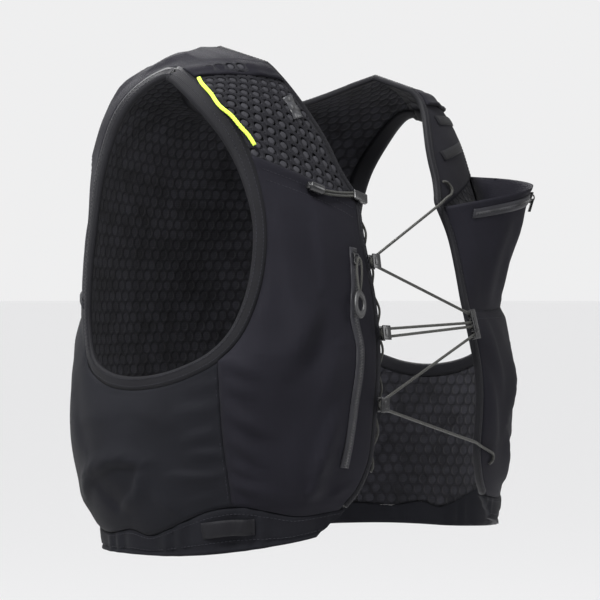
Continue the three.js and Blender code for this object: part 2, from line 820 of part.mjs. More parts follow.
// Back pocket: from side seam to side seam, open at the top across the back
const pocketTopRow = seamRows + 3;
const pocketTop = table(
  ["turn", "level"],
  [
    [60, 0.36],
    [68, 0.335],
    [80, 0.3],
    [96, 0.285],
    [106, 0.297],
    [116, 0.345],
    [130, 0.4],
    [150, 0.44],
    [180, 0.46],
  ],
);
function backPocketLift(spot) {
  const turn = Math.abs(spot.turn);
  const foot = hemLevel(turn);
  const share = clamp((spot.level - foot) / (readTable(pocketTop, "turn", turn).level - foot), 0, 1);
  const swell = backPocketDepth * rise(turn, bandTurn.fore, 106) * hump(share, 0, 1) ** 0.7;
  const mouth = backPocketMouth * rise(turn, 122, 150) * rise(share, 0.45, 1);
  return swell + mouth + foldHeight(spot, 8) * hump(share, 0, 1);
}
const pocketSide = sideGrid.map((row, index) => [...row.slice(0, -1), backGrid[index][0]]);
const pocketBack = backGrid.slice(0, pocketTopRow + 1);
const backPocketGrids = [...bothSides(pocketSide), ...bothSides(pocketBack)];
add("back_pocket", cloth(backPocketGrids, ...coverPair(backPocketLift)), "stretch");

// Back cover: from behind the pocket's mouth over both shoulders to the flap
const coverGrid = [
  ...trimmed(backGrid.slice(pocketTopRow, lastBack), clearance),
  ...frontGrid.slice(flapRow, lastFront + 1).reverse(),
];
coverGrid[coverGrid.length - 1] = coverGrid.at(-1).map((spot, column) => {
  const before = coverGrid.at(-2)[column];
  return between(spot, before, clearance / gapOf(spot, before));
});
const backSwell = (spot) =>
  backSwellDepth * rise(Math.abs(spot.turn), 120, 160) * hump(spot.level, 0.44, 0.96);
const backCoverLift = (spot) => backSwell(spot);
add("back_cover", cloth(bothSides(coverGrid), ...coverPair(backCoverLift)), "stretch");

// Where the face of a piece is met on the way in to a spot of the form
const caster = new THREE.Raycaster();
const castFrom = 2 * chestPocketReach;
function faceAt(geometry, spot) {
  const { normal } = formSlopes(spot);
  caster.set(lifted(spot, castFrom), normal.clone().negate());
  const target = new THREE.Mesh(geometry, new THREE.MeshBasicMaterial({ side: THREE.DoubleSide }));
  return caster.intersectObject(target)[0];
}

// How far the face of a piece stands off the form at a spot
function faceLift(geometry, spot) {
  const hit = faceAt(geometry, spot);
  return hit ? castFrom - hit.distance : coverLift + coverWall;
}

// A frame that lies on the face of a piece: y up the form, z off the face
function frameOn(geometry, spot, gap, tilt = 0) {
  const { point, face } = faceAt(geometry, spot);
  const { byLevel } = formSlopes(spot);
  const outward = face.normal;
  const upward = byLevel.addScaledVector(outward, -byLevel.dot(outward)).normalize();
  const matrix = new THREE.Matrix4().makeBasis(upward.clone().cross(outward), upward, outward);
  matrix.multiply(new THREE.Matrix4().makeRotationZ(radians(tilt)));
  matrix.setPosition(point.addScaledVector(outward, gap));
  return matrix;
}

// A strip that lies on a piece, from lines side by side, each with its height
function strip(carrier, lines, heights, float = clearance) {
  const grid = lines[0].map((_, row) =>
    lines.map((line, column) => {
      const base = faceLift(carrier, line[row]) + float;
      return { ...line[row], base, height: heights[column] };
    }),
  );
  return cloth([grid], (spot) => spot.base, (spot) => spot.base + spot.height);
}

function smoothLine(side, rows, count) {
  const points = rows.map((row) => new THREE.Vector3(side * row.turn, row.level * 100, 0));
  const path = new THREE.CatmullRomCurve3(points, false, "centripetal");
  return path.getSpacedPoints(count).map((at) => ({ turn: at.x, level: at.y / 100 }));
}
const path = (rows) => table(["turn", "level"], rows);

// Zip on the right front pocket: tape with a raised coil, a slider, and a pull cord with a ring
const zipOffsets = [-zipWidth / 2, -coilWidth / 2, coilWidth / 2, zipWidth / 2];
const zipHeights = [zipTapeWall, coilHeight, coilHeight, zipTapeWall];
const zipPath = path([
  [33.5, 0.53],
  [34, 0.47],
  [35, 0.413],
  [33.5, 0.36],
  [34, 0.32],
  [35.5, 0.27],
  [37, 0.2],
  [38, 0.16],
]);
const zipSteps = 16;
const zipLine = smoothLine(-1, zipPath, zipSteps);
const zipLines = zipOffsets.map((offset) => beside(zipLine, offset));
const zipFloat = 2 * clearance;
const sideZip = strip(frontPocket, zipLines, zipHeights, zipFloat);
add("side_zip_right", sideZip, "plastic");

function slider(tabLength) {
  const body = plate(sliderWidth, sliderHeight, sliderWall, sliderWidth / 3);
  const bail = new THREE.BoxGeometry(sliderWidth / 3, sliderHeight - sliderWall, sliderWall);
  bail.translate(0, 0, 1.4 * sliderWall);
  if (tabLength === 0) return joined(body, bail);
  const tab = plate(sliderWidth, tabLength, sliderWall, sliderWidth / 3);
  tab.translate(0, -tabLength / 2, 1.7 * sliderWall);
  return joined(body, bail, tab);
}
const sliderSpot = zipLine[1];
const sliderGap = 2 * clearance;
add("zip_slider_right", placed(slider(0), frameOn(sideZip, sliderSpot, sliderGap)), "plastic");

const pullLoop = ovalRing(pullLoopWidth, pullLoopHeight, pullCordDiameter, 12, 6);
pullLoop.translate(0, -pullLoopHeight / 2, 0);
const pullRing = ovalRing(pullRingWidth, pullRingHeight, pullRingWire, 14, 6);
pullRing.translate(0, -pullLoopHeight - pullRingHeight / 2, 0);
const pullGap = sliderGap + 1.9 * sliderWall + clearance + pullCordDiameter / 2;
const pullTilt = -8;
const pullFrame = frameOn(sideZip, sliderSpot, pullGap, pullTilt);
add("zip_pull_right", placed(joined(pullLoop, pullRing), pullFrame), "rubber");

// Zip along the mouth of the chest pocket on the left, with its slider and tab
const chestRim = chestGrid.at(-1);
const belowRim = chestGrid.at(-2);
const chestLine = (share) => chestRim.map((spot, column) => between(spot, belowRim[column], share)).slice(1, -1);
const chestZipLines = [0.12, 0.34, 0.5, 0.72].map(chestLine);
const chestFloat = 4 * clearance;
const chestZip = strip(chestPocket, chestZipLines, zipHeights, chestFloat);
add("chest_zip_left", chestZip, "plastic");
const chestSliderSpot = between(...chestLine(0.42).slice(0, 2), 0.3);
const chestSliderFrame = frameOn(chestZip, chestSliderSpot, sliderGap);
add("chest_slider_left", placed(slider(sliderTab), chestSliderFrame), "plastic");

// Cord hooks and the slider rail: a base plate, posts for the cord, and a cap over it
const cordRoom = laceDiameter + 3 * clearance;
function postedClip(width, height, posts, outward) {
  const baseWidth = (width + postDiameter) / 2;
  const base = plate(baseWidth, height, hookPlate, postDiameter / 2);
  base.translate((outward * (width - baseWidth)) / 2, 0, 0);
  const cap = plate(width, height, hookPlate, width / 3);
  cap.translate(0, 0, hookPlate + cordRoom);
  const pins = posts.map((y) => {
    const pin = new THREE.CylinderGeometry(postDiameter / 2, postDiameter / 2, cordRoom + hookPlate, 8);
    pin.rotateX(Math.PI / 2);
    pin.translate(0, y, hookPlate + cordRoom / 2);
    return pin;
  });
  return joined(base, ...pins, cap);
}
const clipLift = coverLift + coverWall + bindingWall / 2 + clearance;
const edgeSpot = (side, level, out) => {
  const line = [level - levelStep, level, level + levelStep].map(onFrontEdge);
  const spot = beside(line, -out)[1];
  return side > 0 ? spot : flipped(spot);
};
const hookLevels = [0.508, 0.385, 0.268];
const hookFrames = hookLevels.map((level) => frameAt(edgeSpot(-1, level, hookOut), clipLift));
hookFrames.forEach((frame, index) => {
  const hook = postedClip(hookWidth, hookHeight, [0], -1);
  add(`cord_hook_${index + 1}`, placed(hook, frame), "plastic");
});
const railLevel = 0.395;
const railPosts = [railPostSpacing / 2, -railPostSpacing / 2];
const railFrame = frameAt(edgeSpot(1, railLevel, hookOut), clipLift);
add("slider_rail", placed(postedClip(railWidth, railHeight, railPosts, 1), railFrame), "plastic");

// Lacing cord: from the left edge round each hook and each post of the rail, and back to the left
const laceTurn = (postDiameter + laceDiameter + cordRoom - laceDiameter) / 2;
const laceHeight = hookPlate + cordRoom / 2;
function aroundPost(frame, y, outward, startAngle, endAngle) {
  return Array.from({ length: 9 }, (_, index) => {
    const angle = radians(mix(startAngle, endAngle, index / 8));
    const x = outward * laceTurn * Math.cos(angle);
    return new THREE.Vector3(x, y + laceTurn * Math.sin(angle), laceHeight).applyMatrix4(frame);
  });
}
const laceFoot = 2 * clearance + laceDiameter / 2;
const upperAnchor = path([
  [35, 0.676],
  [37.5, 0.672],
  [38.5, 0.66],
  [36.5, 0.648],
  [32, 0.64],
  [25, 0.626],
]);
const lowerAnchor = path([
  [24, 0.192],
  [28, 0.182],
  [31.5, 0.173],
  [34.5, 0.163],
  [35, 0.15],
  [33.5, 0.142],
]);
const onPiece = (piece, spots, lift, least = 0) =>
  spots.map((spot) => lifted(spot, Math.max(faceLift(piece, spot), least) + lift));
const bindingTop = coverLift + coverWall + bindingWall / 2;
const lacePoints = [
  ...onPiece(strapCover, smoothLine(1, upperAnchor, 10), laceFoot, bindingTop),
  ...aroundPost(hookFrames[0], 0, -1, 70, -75),
  ...aroundPost(railFrame, railPosts[0], 1, 65, -85),
  ...aroundPost(hookFrames[1], 0, -1, 85, -85),
  ...aroundPost(railFrame, railPosts[1], 1, 85, -65),
  ...aroundPost(hookFrames[2], 0, -1, 75, -70),
  ...onPiece(lowerPocket, smoothLine(1, lowerAnchor, 10), laceFoot, bindingTop),
];
add("lacing_cord", cord(lacePoints, laceDiameter), "lace");

// Elastic cord along the right front edge, under the hooks
const edgeCordGap = edgeCordDiameter / 2 + 2 * clearance;
const edgeCordSpots = gatheredEdge.filter((spot) => spot.level > 0.14 && spot.level < 0.62);
const edgeCordLine = beside(edgeCordSpots, -edgeCordGap).map(flipped);
const edgeCordPoints = edgeCordLine.map((spot) => lifted(spot, edgeCordDiameter / 2));
add("edge_cord_right", cord(edgeCordPoints, edgeCordDiameter), "lace");

// Lime cord on the net of the right strap
const limePath = path([
  [80, 0.815],
  [76.5, 0.79],
  [73, 0.765],
  [69.5, 0.745],
  [66.5, 0.725],
  [63.5, 0.7],
]);
const limeLift = 3 * clearance + limeCordDiameter / 2;
const limePoints = onPiece(strapPocket, smoothLine(-1, limePath, 16), limeLift);
add("lime_cord_right", cord(limePoints, limeCordDiameter), "lime");

// Neck tab, cord lock, drawcord and its end clip on the right
const tabPath = path([
  [55.5, 0.82],
  [53, 0.797],
  [51, 0.775],
]);
const tabLine = smoothLine(-1, tabPath, 4);
const tabLines = [-neckTabWidth / 2, 0, neckTabWidth / 2].map((offset) => beside(tabLine, offset));
add("neck_tab_right", strip(strapPocket, tabLines, [webbingWall, webbingWall, webbingWall]), "binding");

const lockTurn = -46;
const lockLevel = 0.628;
const lockTilt = 80;
const lockSpot = { turn: lockTurn, level: lockLevel };
const lockFrame = frameOn(frontPocket, lockSpot, 2 * clearance + cordLockDiameter / 2, lockTilt);
const lock = new THREE.CylinderGeometry(cordLockDiameter / 2, cordLockDiameter / 2, cordLockLength, 12);
add("cord_lock_right", placed(lock, lockFrame), "plastic");
const endClipWall = 3 * hookPlate;
const endClipFrame = frameAt(edgeSpot(-1, lockLevel, -hookOut), clipLift, lockTilt);
const endClip = plate(endClipWidth, endClipLength, endClipWall, endClipWidth / 4);
add("drawcord_clip_right", placed(endClip, endClipFrame), "plastic");
[-1, 1].forEach((side, index) => {
  const aside = (side * (drawcordDiameter + 2 * clearance)) / 2;
  const start = new THREE.Vector3(aside, -cordLockLength / 2 - 2 * clearance, 0).applyMatrix4(lockFrame);
  const end = new THREE.Vector3(aside, endClipLength / 2 + clearance, endClipWall / 2).applyMatrix4(endClipFrame);
  const points = Array.from({ length: 7 }, (_, step) => start.clone().lerp(end, step / 6));
  add(`drawcord_right_${index + 1}`, cord(points, drawcordDiameter), "lace");
});

// Pole loops: webbing over the hem band, standing off in the middle
function poleLoop(side) {
  const middleTurn = 67;
  const halfTurn = THREE.MathUtils.radToDeg(poleLoopWidth / halfWidth) / 2.3;
  const ends = path([
    [middleTurn - halfTurn, 0.046],
    [middleTurn, 0.05],
    [middleTurn + halfTurn, 0.046],
  ]);
  const line = smoothLine(side, ends, 10);
  const lines = [-poleLoopHeight / 2, 0, poleLoopHeight / 2].map((offset) => beside(line, offset));
  const grid = line.map((_, row) =>
    lines.map((edge) => {
      const standing = poleLoopRise * hump(row, 1, line.length - 2) ** 0.7;
      return { ...edge[row], base: faceLift(hemBand, edge[row]) + 2 * clearance + standing };
    }),
  );
  return cloth([grid], (spot) => spot.base, (spot) => spot.base + webbingWall);
}
addPair("pole_loop", poleLoop, "binding");

// Webbing bars across the left strap
const barRows = [armRow(1.5) - mouthRow, armRow(2.5) - mouthRow];
barRows.forEach((row, index) => {
  const line = strapGrid[row].slice(1, -1);
  const lines = [-barWidth / 2, 0, barWidth / 2].map((offset) => beside(line, offset));
  const bar = strip(strapCover, lines, [webbingWall, webbingWall, webbingWall], zipFloat);
  add(`strap_bar_left_${index + 1}`, bar, "binding");
});

export default vest;
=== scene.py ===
# %% [markdown]
# # Running hydration vest
# A sleeveless vest of dark mesh and stretch cloth, held in its worn shape. The frame gives the
# solid pieces; every cloth, cord and fitting seen here is made again over them, finer.
# Lengths are in metres: x to the wearer's left, -y out of the chest, z up.

# %% Load the frame
import math

import bpy
import numpy as np
from mathutils import Matrix, Vector
from mathutils.bvhtree import BVHTree


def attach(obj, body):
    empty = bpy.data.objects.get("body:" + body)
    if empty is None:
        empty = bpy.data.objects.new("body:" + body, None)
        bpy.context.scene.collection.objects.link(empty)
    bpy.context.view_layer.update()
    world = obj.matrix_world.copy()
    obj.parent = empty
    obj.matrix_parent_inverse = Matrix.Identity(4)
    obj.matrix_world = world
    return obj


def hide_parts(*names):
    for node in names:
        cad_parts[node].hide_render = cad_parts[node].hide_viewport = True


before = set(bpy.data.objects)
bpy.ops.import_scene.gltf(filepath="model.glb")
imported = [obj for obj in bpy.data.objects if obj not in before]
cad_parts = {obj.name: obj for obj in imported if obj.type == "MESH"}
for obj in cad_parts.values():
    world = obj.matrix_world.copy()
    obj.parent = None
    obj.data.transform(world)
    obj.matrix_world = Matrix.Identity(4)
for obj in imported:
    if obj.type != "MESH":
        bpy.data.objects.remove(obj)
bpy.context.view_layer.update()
MM = 0.001


# %% [markdown]
# ## Camera, light and floor
# The camera stands off the wearer's right front, almost level, with a long lens.
# The light is a bright room with two large soft boxes, and the floor lies well below the vest.

# %% Camera, light and floor
CAMERA_TURN = -49
CAMERA_RISE = 1
CAMERA_DISTANCE = 2.55
LENS = 195.8
AIM = Vector((0, 0, -0.184))


def direction(azimuth, elevation):
    a, e = math.radians(azimuth), math.radians(elevation)
    return Vector((math.sin(a) * math.cos(e), -math.cos(a) * math.cos(e), math.sin(e)))


def look_at(obj, place, aim):
    obj.location = place
    obj.rotation_euler = (aim - place).to_track_quat("-Z", "Y").to_euler()


camera = bpy.data.objects.new("camera", bpy.data.cameras.new("camera"))
bpy.context.collection.objects.link(camera)
camera.data.lens = LENS
camera.data.sensor_width = 36
camera.data.clip_end = 500
look_at(camera, AIM + CAMERA_DISTANCE * direction(CAMERA_TURN, CAMERA_RISE), AIM)
bpy.context.scene.camera = camera
bpy.context.scene.view_settings.view_transform = "Standard"

lights = [
    ("key", -82, 50, 2.4, 0.8, 175),
    ("fill", 20, 20, 3.0, 1.6, 60),
    ("back_light", 150, 40, 2.6, 1.2, 90),
    ("top_light", -140, 62, 2.4, 1.0, 70),
]
for name, azimuth, elevation, distance, size, power in lights:
    lamp = bpy.data.lights.new(name, "AREA")
    lamp.shape = "DISK"
    lamp.size = size
    lamp.energy = power
    light = bpy.data.objects.new(name, lamp)
    bpy.context.collection.objects.link(light)
    look_at(light, AIM + distance * direction(azimuth, elevation), AIM)

world = bpy.data.worlds.new("room")
world.use_nodes = True
world.node_tree.nodes["Background"].inputs["Color"].default_value = (0.862, 0.862, 0.866, 1)
world.node_tree.nodes["Background"].inputs["Strength"].default_value = 1
bpy.context.scene.world = world

bpy.ops.mesh.primitive_circle_add(vertices=96, radius=60, fill_type="NGON", location=(0, 0, -1.25))
floor = bpy.context.object
floor.name = "floor"
floor_paint = bpy.data.materials.new("floor_paint")
floor_paint.use_nodes = True
floor_paint.node_tree.nodes["Principled BSDF"].inputs["Base Color"].default_value = (0.92, 0.92, 0.925, 1)
floor_paint.node_tree.nodes["Principled BSDF"].inputs["Roughness"].default_value = 0.9
floor.data.materials.append(floor_paint)
print("camera at", [round(value, 3) for value in camera.location])

# %% [markdown]
# ## The body form
# The vest keeps the shape of a chest. A section table gives its outline at each level, and a spot
# on it is a turn in degrees, 0 in front and 180 behind, with a level from 0 at the hem to 1.

# %% The body form
HEIGHT, HALF_WIDTH, FORE, AFT = 0.372, 0.173, 0.131, 0.14
LEAN = 0.08  # the left shoulder sits lower than the right


def table(columns, rows):
    return dict(zip(columns, np.array(rows, float).T))


sections = table(
    ["level", "rise_front", "rise_side", "rise_back", "wide", "fore", "aft", "square"],
    [
        [0.0, 0.085, 0.003, 0.0, 0.983, 0.916, 0.757, 2.5],
        [0.17, 0.194, 0.188, 0.188, 1.0, 0.969, 0.886, 2.5],
        [0.31, 0.355, 0.355, 0.355, 1.0, 1.0, 0.95, 2.5],
        [0.45, 0.516, 0.516, 0.516, 0.988, 0.916, 0.993, 2.5],
        [0.58, 0.656, 0.672, 0.664, 0.96, 0.809, 0.971, 2.5],
        [0.69, 0.753, 0.796, 0.774, 0.931, 0.687, 0.957, 2.4],
        [0.79, 0.823, 0.898, 0.855, 0.884, 0.573, 0.879, 2.35],
        [0.88, 0.866, 0.968, 0.893, 0.734, 0.481, 0.75, 2.3],
        [1.0, 0.892, 1.005, 0.88, 0.462, 0.382, 0.45, 2.0],
    ],
)


def read(rows, key, at, column):
    """One column of a table at places between its rows, along a smooth curve."""
    x, y = rows[key], rows[column]
    last = len(x) - 1
    at = np.asarray(at, float)
    i = np.clip(np.searchsorted(x, at, side="right") - 1, 0, last - 1)
    before = np.maximum(np.arange(last + 1) - 1, 0)
    after = np.minimum(np.arange(last + 1) + 1, last)
    slope = (y[after] - y[before]) / (x[after] - x[before])
    span = x[i + 1] - x[i]
    t = (at - x[i]) / span
    return (
        y[i] * (2 * t**3 - 3 * t**2 + 1)
        + slope[i] * span * (t**3 - 2 * t**2 + t)
        + y[i + 1] * (3 * t**2 - 2 * t**3)
        + slope[i + 1] * span * (t**3 - t**2)
    )


def smoothstep(x, low, high):
    t = np.clip((x - low) / (high - low), 0, 1)
    return t * t * (3 - 2 * t)


def form(spots):
    turn, level = np.radians(spots[..., 0]), spots[..., 1]
    sine, cosine = np.sin(turn), np.cos(turn)
    front = cosine > 0
    fore, aft = (read(sections, "level", level, name) for name in ("fore", "aft"))
    depth = np.where(front, fore * FORE, aft * AFT)
    width = read(sections, "level", level, "wide") * HALF_WIDTH
    power = read(sections, "level", level, "square")
    reach = (np.abs(sine / width) ** power + np.abs(cosine / depth) ** power) ** (-1 / power)
    side, ahead, behind = (
        read(sections, "level", level, name) for name in ("rise_side", "rise_front", "rise_back")
    )
    sag = np.abs(cosine) ** np.where(front, 2.0, 1.4)
    height = (side + (np.where(front, ahead, behind) - side) * sag - 1) * HEIGHT
    height = height - LEAN * reach * sine * smoothstep(level, 0.35, 0.95)
    return np.stack([reach * sine, -reach * cosine, height], axis=-1)


def slopes(spots):
    turn, level = np.array([0.4, 0.0]), np.array([0.0, 0.004])
    by_turn = (form(spots + turn) - form(spots - turn)) / 0.8
    by_level = (form(spots + level) - form(spots - level)) / 0.008
    normal = np.cross(by_turn, by_level)
    return by_turn, by_level, normal / np.linalg.norm(normal, axis=-1, keepdims=True)


def lifted(spots, lift):
    return form(spots) + slopes(spots)[2] * np.asarray(lift)[..., None]


def moved(spots, vector):
    by_turn, by_level, _ = slopes(spots)
    dot = lambda a, b: np.sum(a * b, axis=-1)
    tt, tl, ll = dot(by_turn, by_turn), dot(by_turn, by_level), dot(by_level, by_level)
    first, second = dot(by_turn, vector), dot(by_level, vector)
    bottom = tt * ll - tl**2
    step = np.stack([(first * ll - second * tl) / bottom, (second * tt - first * tl) / bottom], axis=-1)
    return spots + step


def beside(line, distance, closed=False):
    """The line beside a line, to its right as seen from outside."""
    places = form(line)
    if closed:
        along = np.roll(places, -1, axis=0) - np.roll(places, 1, axis=0)
    else:
        along = np.gradient(places, axis=0)
    sideways = np.cross(along, slopes(line)[2])
    return moved(line, sideways / np.linalg.norm(sideways, axis=-1, keepdims=True) * distance)


def mirror(spots):
    return spots * np.array([-1.0, 1.0])


def hump(x, low=0.0, high=1.0):
    return np.sin(np.pi * np.clip((x - low) / (high - low), 0, 1))


print("shoulder at", np.round(form(np.array([90.0, 0.975])), 3))

# %% [markdown]
# ## Cut lines
# The same lines as the frame's pieces have, sampled finely: the armhole, the front edge with the
# neck, the two seams under the arm, and the gathered top of the hem band.

# %% Cut lines
STEPS = 12  # to each row of the armhole table
SEAM_ROWS = int(3.5 * STEPS)
COLUMNS = 32
ARM_BAND, EDGE_BAND, GAP = 9 * MM, 4 * MM, 0.3 * MM

front_edge = table(
    ["level", "turn"],
    [[0.0, 45], [0.015, 42.5], [0.03, 39.5], [0.055, 35.5], [0.09, 31.5], [0.135, 28.5], [0.18, 26.6],
     [0.25, 25.8], [0.36, 24], [0.44, 23.9], [0.5, 25], [0.56, 26.2], [0.635, 26.4], [0.66, 29.5],
     [0.69, 33], [0.73, 36.5], [0.77, 41], [0.815, 47.5], [0.88, 58], [0.93, 66], [0.962, 76],
     [0.975, 90]],
)
armhole = np.array(
    [[91, 0.822], [82.5, 0.796], [76.8, 0.764], [69.8, 0.706], [64.8, 0.638], [61.8, 0.56], [62.3, 0.475],
     [66, 0.4], [71, 0.36], [78, 0.334], [86, 0.318], [96, 0.312], [105, 0.322], [112, 0.347],
     [115, 0.4], [116, 0.48], [115.5, 0.56], [114.5, 0.63], [111.5, 0.695], [106.5, 0.75], [99, 0.801]]
)
hem_top = table(
    ["turn", "level"],
    [[0, 0.055], [40, 0.055], [50, 0.057], [57, 0.075], [64, 0.09], [71, 0.085], [78, 0.066],
     [84, 0.047], [89, 0.037], [95, 0.046], [104, 0.036], [118, 0.042], [180, 0.046]],
)
front_rows = table(
    ["side", "edge"],
    [[0.0, 0.0], [0.2, 0.2], [0.36, 0.36], [0.5, 0.465], [0.6, 0.545], [0.68, 0.63], [0.74, 0.74],
     [0.79, 0.85], [0.82, 0.92], [0.838, 0.975]],
)
back_rows = table(
    ["side", "edge", "turn"],
    [[0.0, 0.0, 180], [0.2, 0.2, 180], [0.35, 0.36, 180], [0.45, 0.52, 180], [0.56, 0.74, 180],
     [0.63, 0.938, 180], [0.7, 0.941, 165], [0.76, 0.952, 143], [0.805, 0.964, 116],
     [0.838, 0.975, 90]],
)
COLLAR_START = 0.63


def catmull(points, closed, per_span):
    """A smooth curve through points, with the same number of steps on every span."""
    points = np.asarray(points, float)
    count = len(points)
    if closed:
        ring = np.concatenate([points[-1:], points, points[:2]])
        spans = count
    else:
        ring = np.concatenate([2 * points[:1] - points[1:2], points, 2 * points[-1:] - points[-2:-1]])
        spans = count - 1
    t = (np.arange(per_span) / per_span)[:, None]
    out = []
    for i in range(spans):
        p0, p1, p2, p3 = ring[i : i + 4]
        d0, d1, d2 = (max(np.linalg.norm(b - a), 1e-6) ** 0.5 for a, b in ((p0, p1), (p1, p2), (p2, p3)))
        m1 = ((p1 - p0) / d0 - (p2 - p0) / (d0 + d1) + (p2 - p1) / d1) * d1
        m2 = ((p2 - p1) / d1 - (p3 - p1) / (d1 + d2) + (p3 - p2) / d2) * d1
        out.append(
            p1 * (2 * t**3 - 3 * t**2 + 1) + m1 * (t**3 - 2 * t**2 + t)
            + p2 * (3 * t**2 - 2 * t**3) + m2 * (t**3 - t**2)
        )
    if not closed:
        out.append(points[-1:])
    return np.concatenate(out)


SCALE = np.array([1.0, 100.0])


def smooth_line(rows, count):
    """Evenly spaced spots along a smooth curve through a few spots."""
    dense = catmull(np.array(rows, float) * SCALE, False, 40)
    run = np.concatenate([[0], np.cumsum(np.linalg.norm(np.diff(dense, axis=0), axis=1))])
    at = np.linspace(0, run[-1], count + 1)
    return np.stack([np.interp(at, run, dense[:, k]) for k in (0, 1)], axis=-1) / SCALE


def hem_level(turn):
    return read(hem_top, "turn", np.abs(turn), "level")


def gathered(spots, gap):
    fade = 1 - smoothstep(spots[..., 1], 0, 0.25)
    level = spots[..., 1] + (hem_level(spots[..., 0]) + gap / HEIGHT) * fade
    return np.stack([spots[..., 0], level], axis=-1)


def across(spots, distance):
    by_turn = slopes(spots)[0]
    return moved(spots, by_turn / np.linalg.norm(by_turn, axis=-1, keepdims=True) * distance)


def on_front_edge(level):
    level = np.asarray(level, float)
    return np.stack([read(front_edge, "level", level, "turn"), level], axis=-1)


arm_edge = catmull(armhole * SCALE, True, STEPS) / SCALE
arm_seam = beside(arm_edge, ARM_BAND, True)
arm_panel = beside(arm_edge, ARM_BAND + GAP, True)
FORE_COUNT, AFT_COUNT = 8 * STEPS, 13 * STEPS
share = (np.arange(SEAM_ROWS) / SEAM_ROWS)[:, None]
FORE_TURN, AFT_TURN = 66, 114


def seam_line(foot_turn, top):
    return np.array([foot_turn, 0.0]) * (1 - share) + top * share


front_outer = np.concatenate(
    [across(seam_line(FORE_TURN, arm_panel[FORE_COUNT]), -GAP / 2), arm_panel[FORE_COUNT::-1]]
)
front_heights = np.concatenate(
    [arm_edge[FORE_COUNT, 1] * share[:, 0], arm_edge[FORE_COUNT::-1, 1]]
)
front_line = on_front_edge(read(front_rows, "side", front_heights, "edge"))
front_line[-1] = [90, 0.975]
back_outer = np.concatenate(
    [across(seam_line(AFT_TURN, arm_panel[AFT_COUNT]), GAP / 2), arm_panel[AFT_COUNT:], arm_panel[:1]]
)
back_heights = np.concatenate(
    [arm_edge[AFT_COUNT, 1] * share[:, 0], arm_edge[AFT_COUNT:, 1], armhole[:1, 1]]
)
collar = back_heights > COLLAR_START
back_inner = np.stack(
    [
        np.where(collar, np.clip(read(back_rows, "side", back_heights, "turn"), 90, 180), 180),
        read(back_rows, "side", back_heights, "edge"),
    ],
    axis=-1,
)
first_collar = int(np.argmax(back_inner[:, 0] < 180)) - 1
back_inner[first_collar] = [180, 0.938]
bound_front = on_front_edge(gathered(front_line, GAP)[:, 1])
bound_front[-1] = front_line[-1]
bound_edge = np.concatenate([bound_front, back_inner[first_collar:-1][::-1]])


def inward(distance):
    line = beside(bound_edge, distance)
    line[-1, 0] = 180
    rise = (line[1, 1] - bound_edge[0, 1]) / (line[1, 1] - line[0, 1])
    line[0] = line[1] * (1 - rise) + line[0] * rise
    return line


bound_seam = inward(EDGE_BAND)
bound_panel = inward(EDGE_BAND + GAP)


def ruled(outer, inner, columns=COLUMNS):
    t = (np.arange(columns + 1) / columns)[None, :, None]
    return outer[:, None, :] * (1 - t) + inner[:, None, :] * t


def hem_row(row):
    return np.stack([row[:, 0], hem_level(row[:, 0]) + GAP / HEIGHT], axis=-1)


LAST_FRONT, LAST_BACK = len(front_outer) - 1, len(back_outer) - 1
front_grid = ruled(gathered(front_outer, GAP), bound_panel[: LAST_FRONT + 1])
back_edge = gathered(back_inner, GAP)
back_edge[first_collar:] = bound_panel[LAST_FRONT + LAST_BACK - np.arange(first_collar, LAST_BACK + 1)]
back_grid = ruled(gathered(back_outer, GAP), back_edge)
front_grid[0] = hem_row(front_grid[0])
back_grid[0] = hem_row(back_grid[0])
side_top = arm_panel[FORE_COUNT : AFT_COUNT + 1]
side_foot = np.stack([np.linspace(FORE_TURN, AFT_TURN, len(side_top)), np.zeros(len(side_top))], axis=-1)
rise = (np.arange(SEAM_ROWS + 1) / SEAM_ROWS)[:, None, None]
side_grid = gathered(side_foot[None] * (1 - rise) + side_top[None] * rise, GAP)
side_grid[-1] = side_top
side_grid[0] = hem_row(side_grid[0])
print("grids", front_grid.shape, side_grid.shape, back_grid.shape)

# %% [markdown]
# ## Materials
# Every cloth reads its pattern from a UV map that is laid out in metres over the form, so that
# threads and cells have their real size.

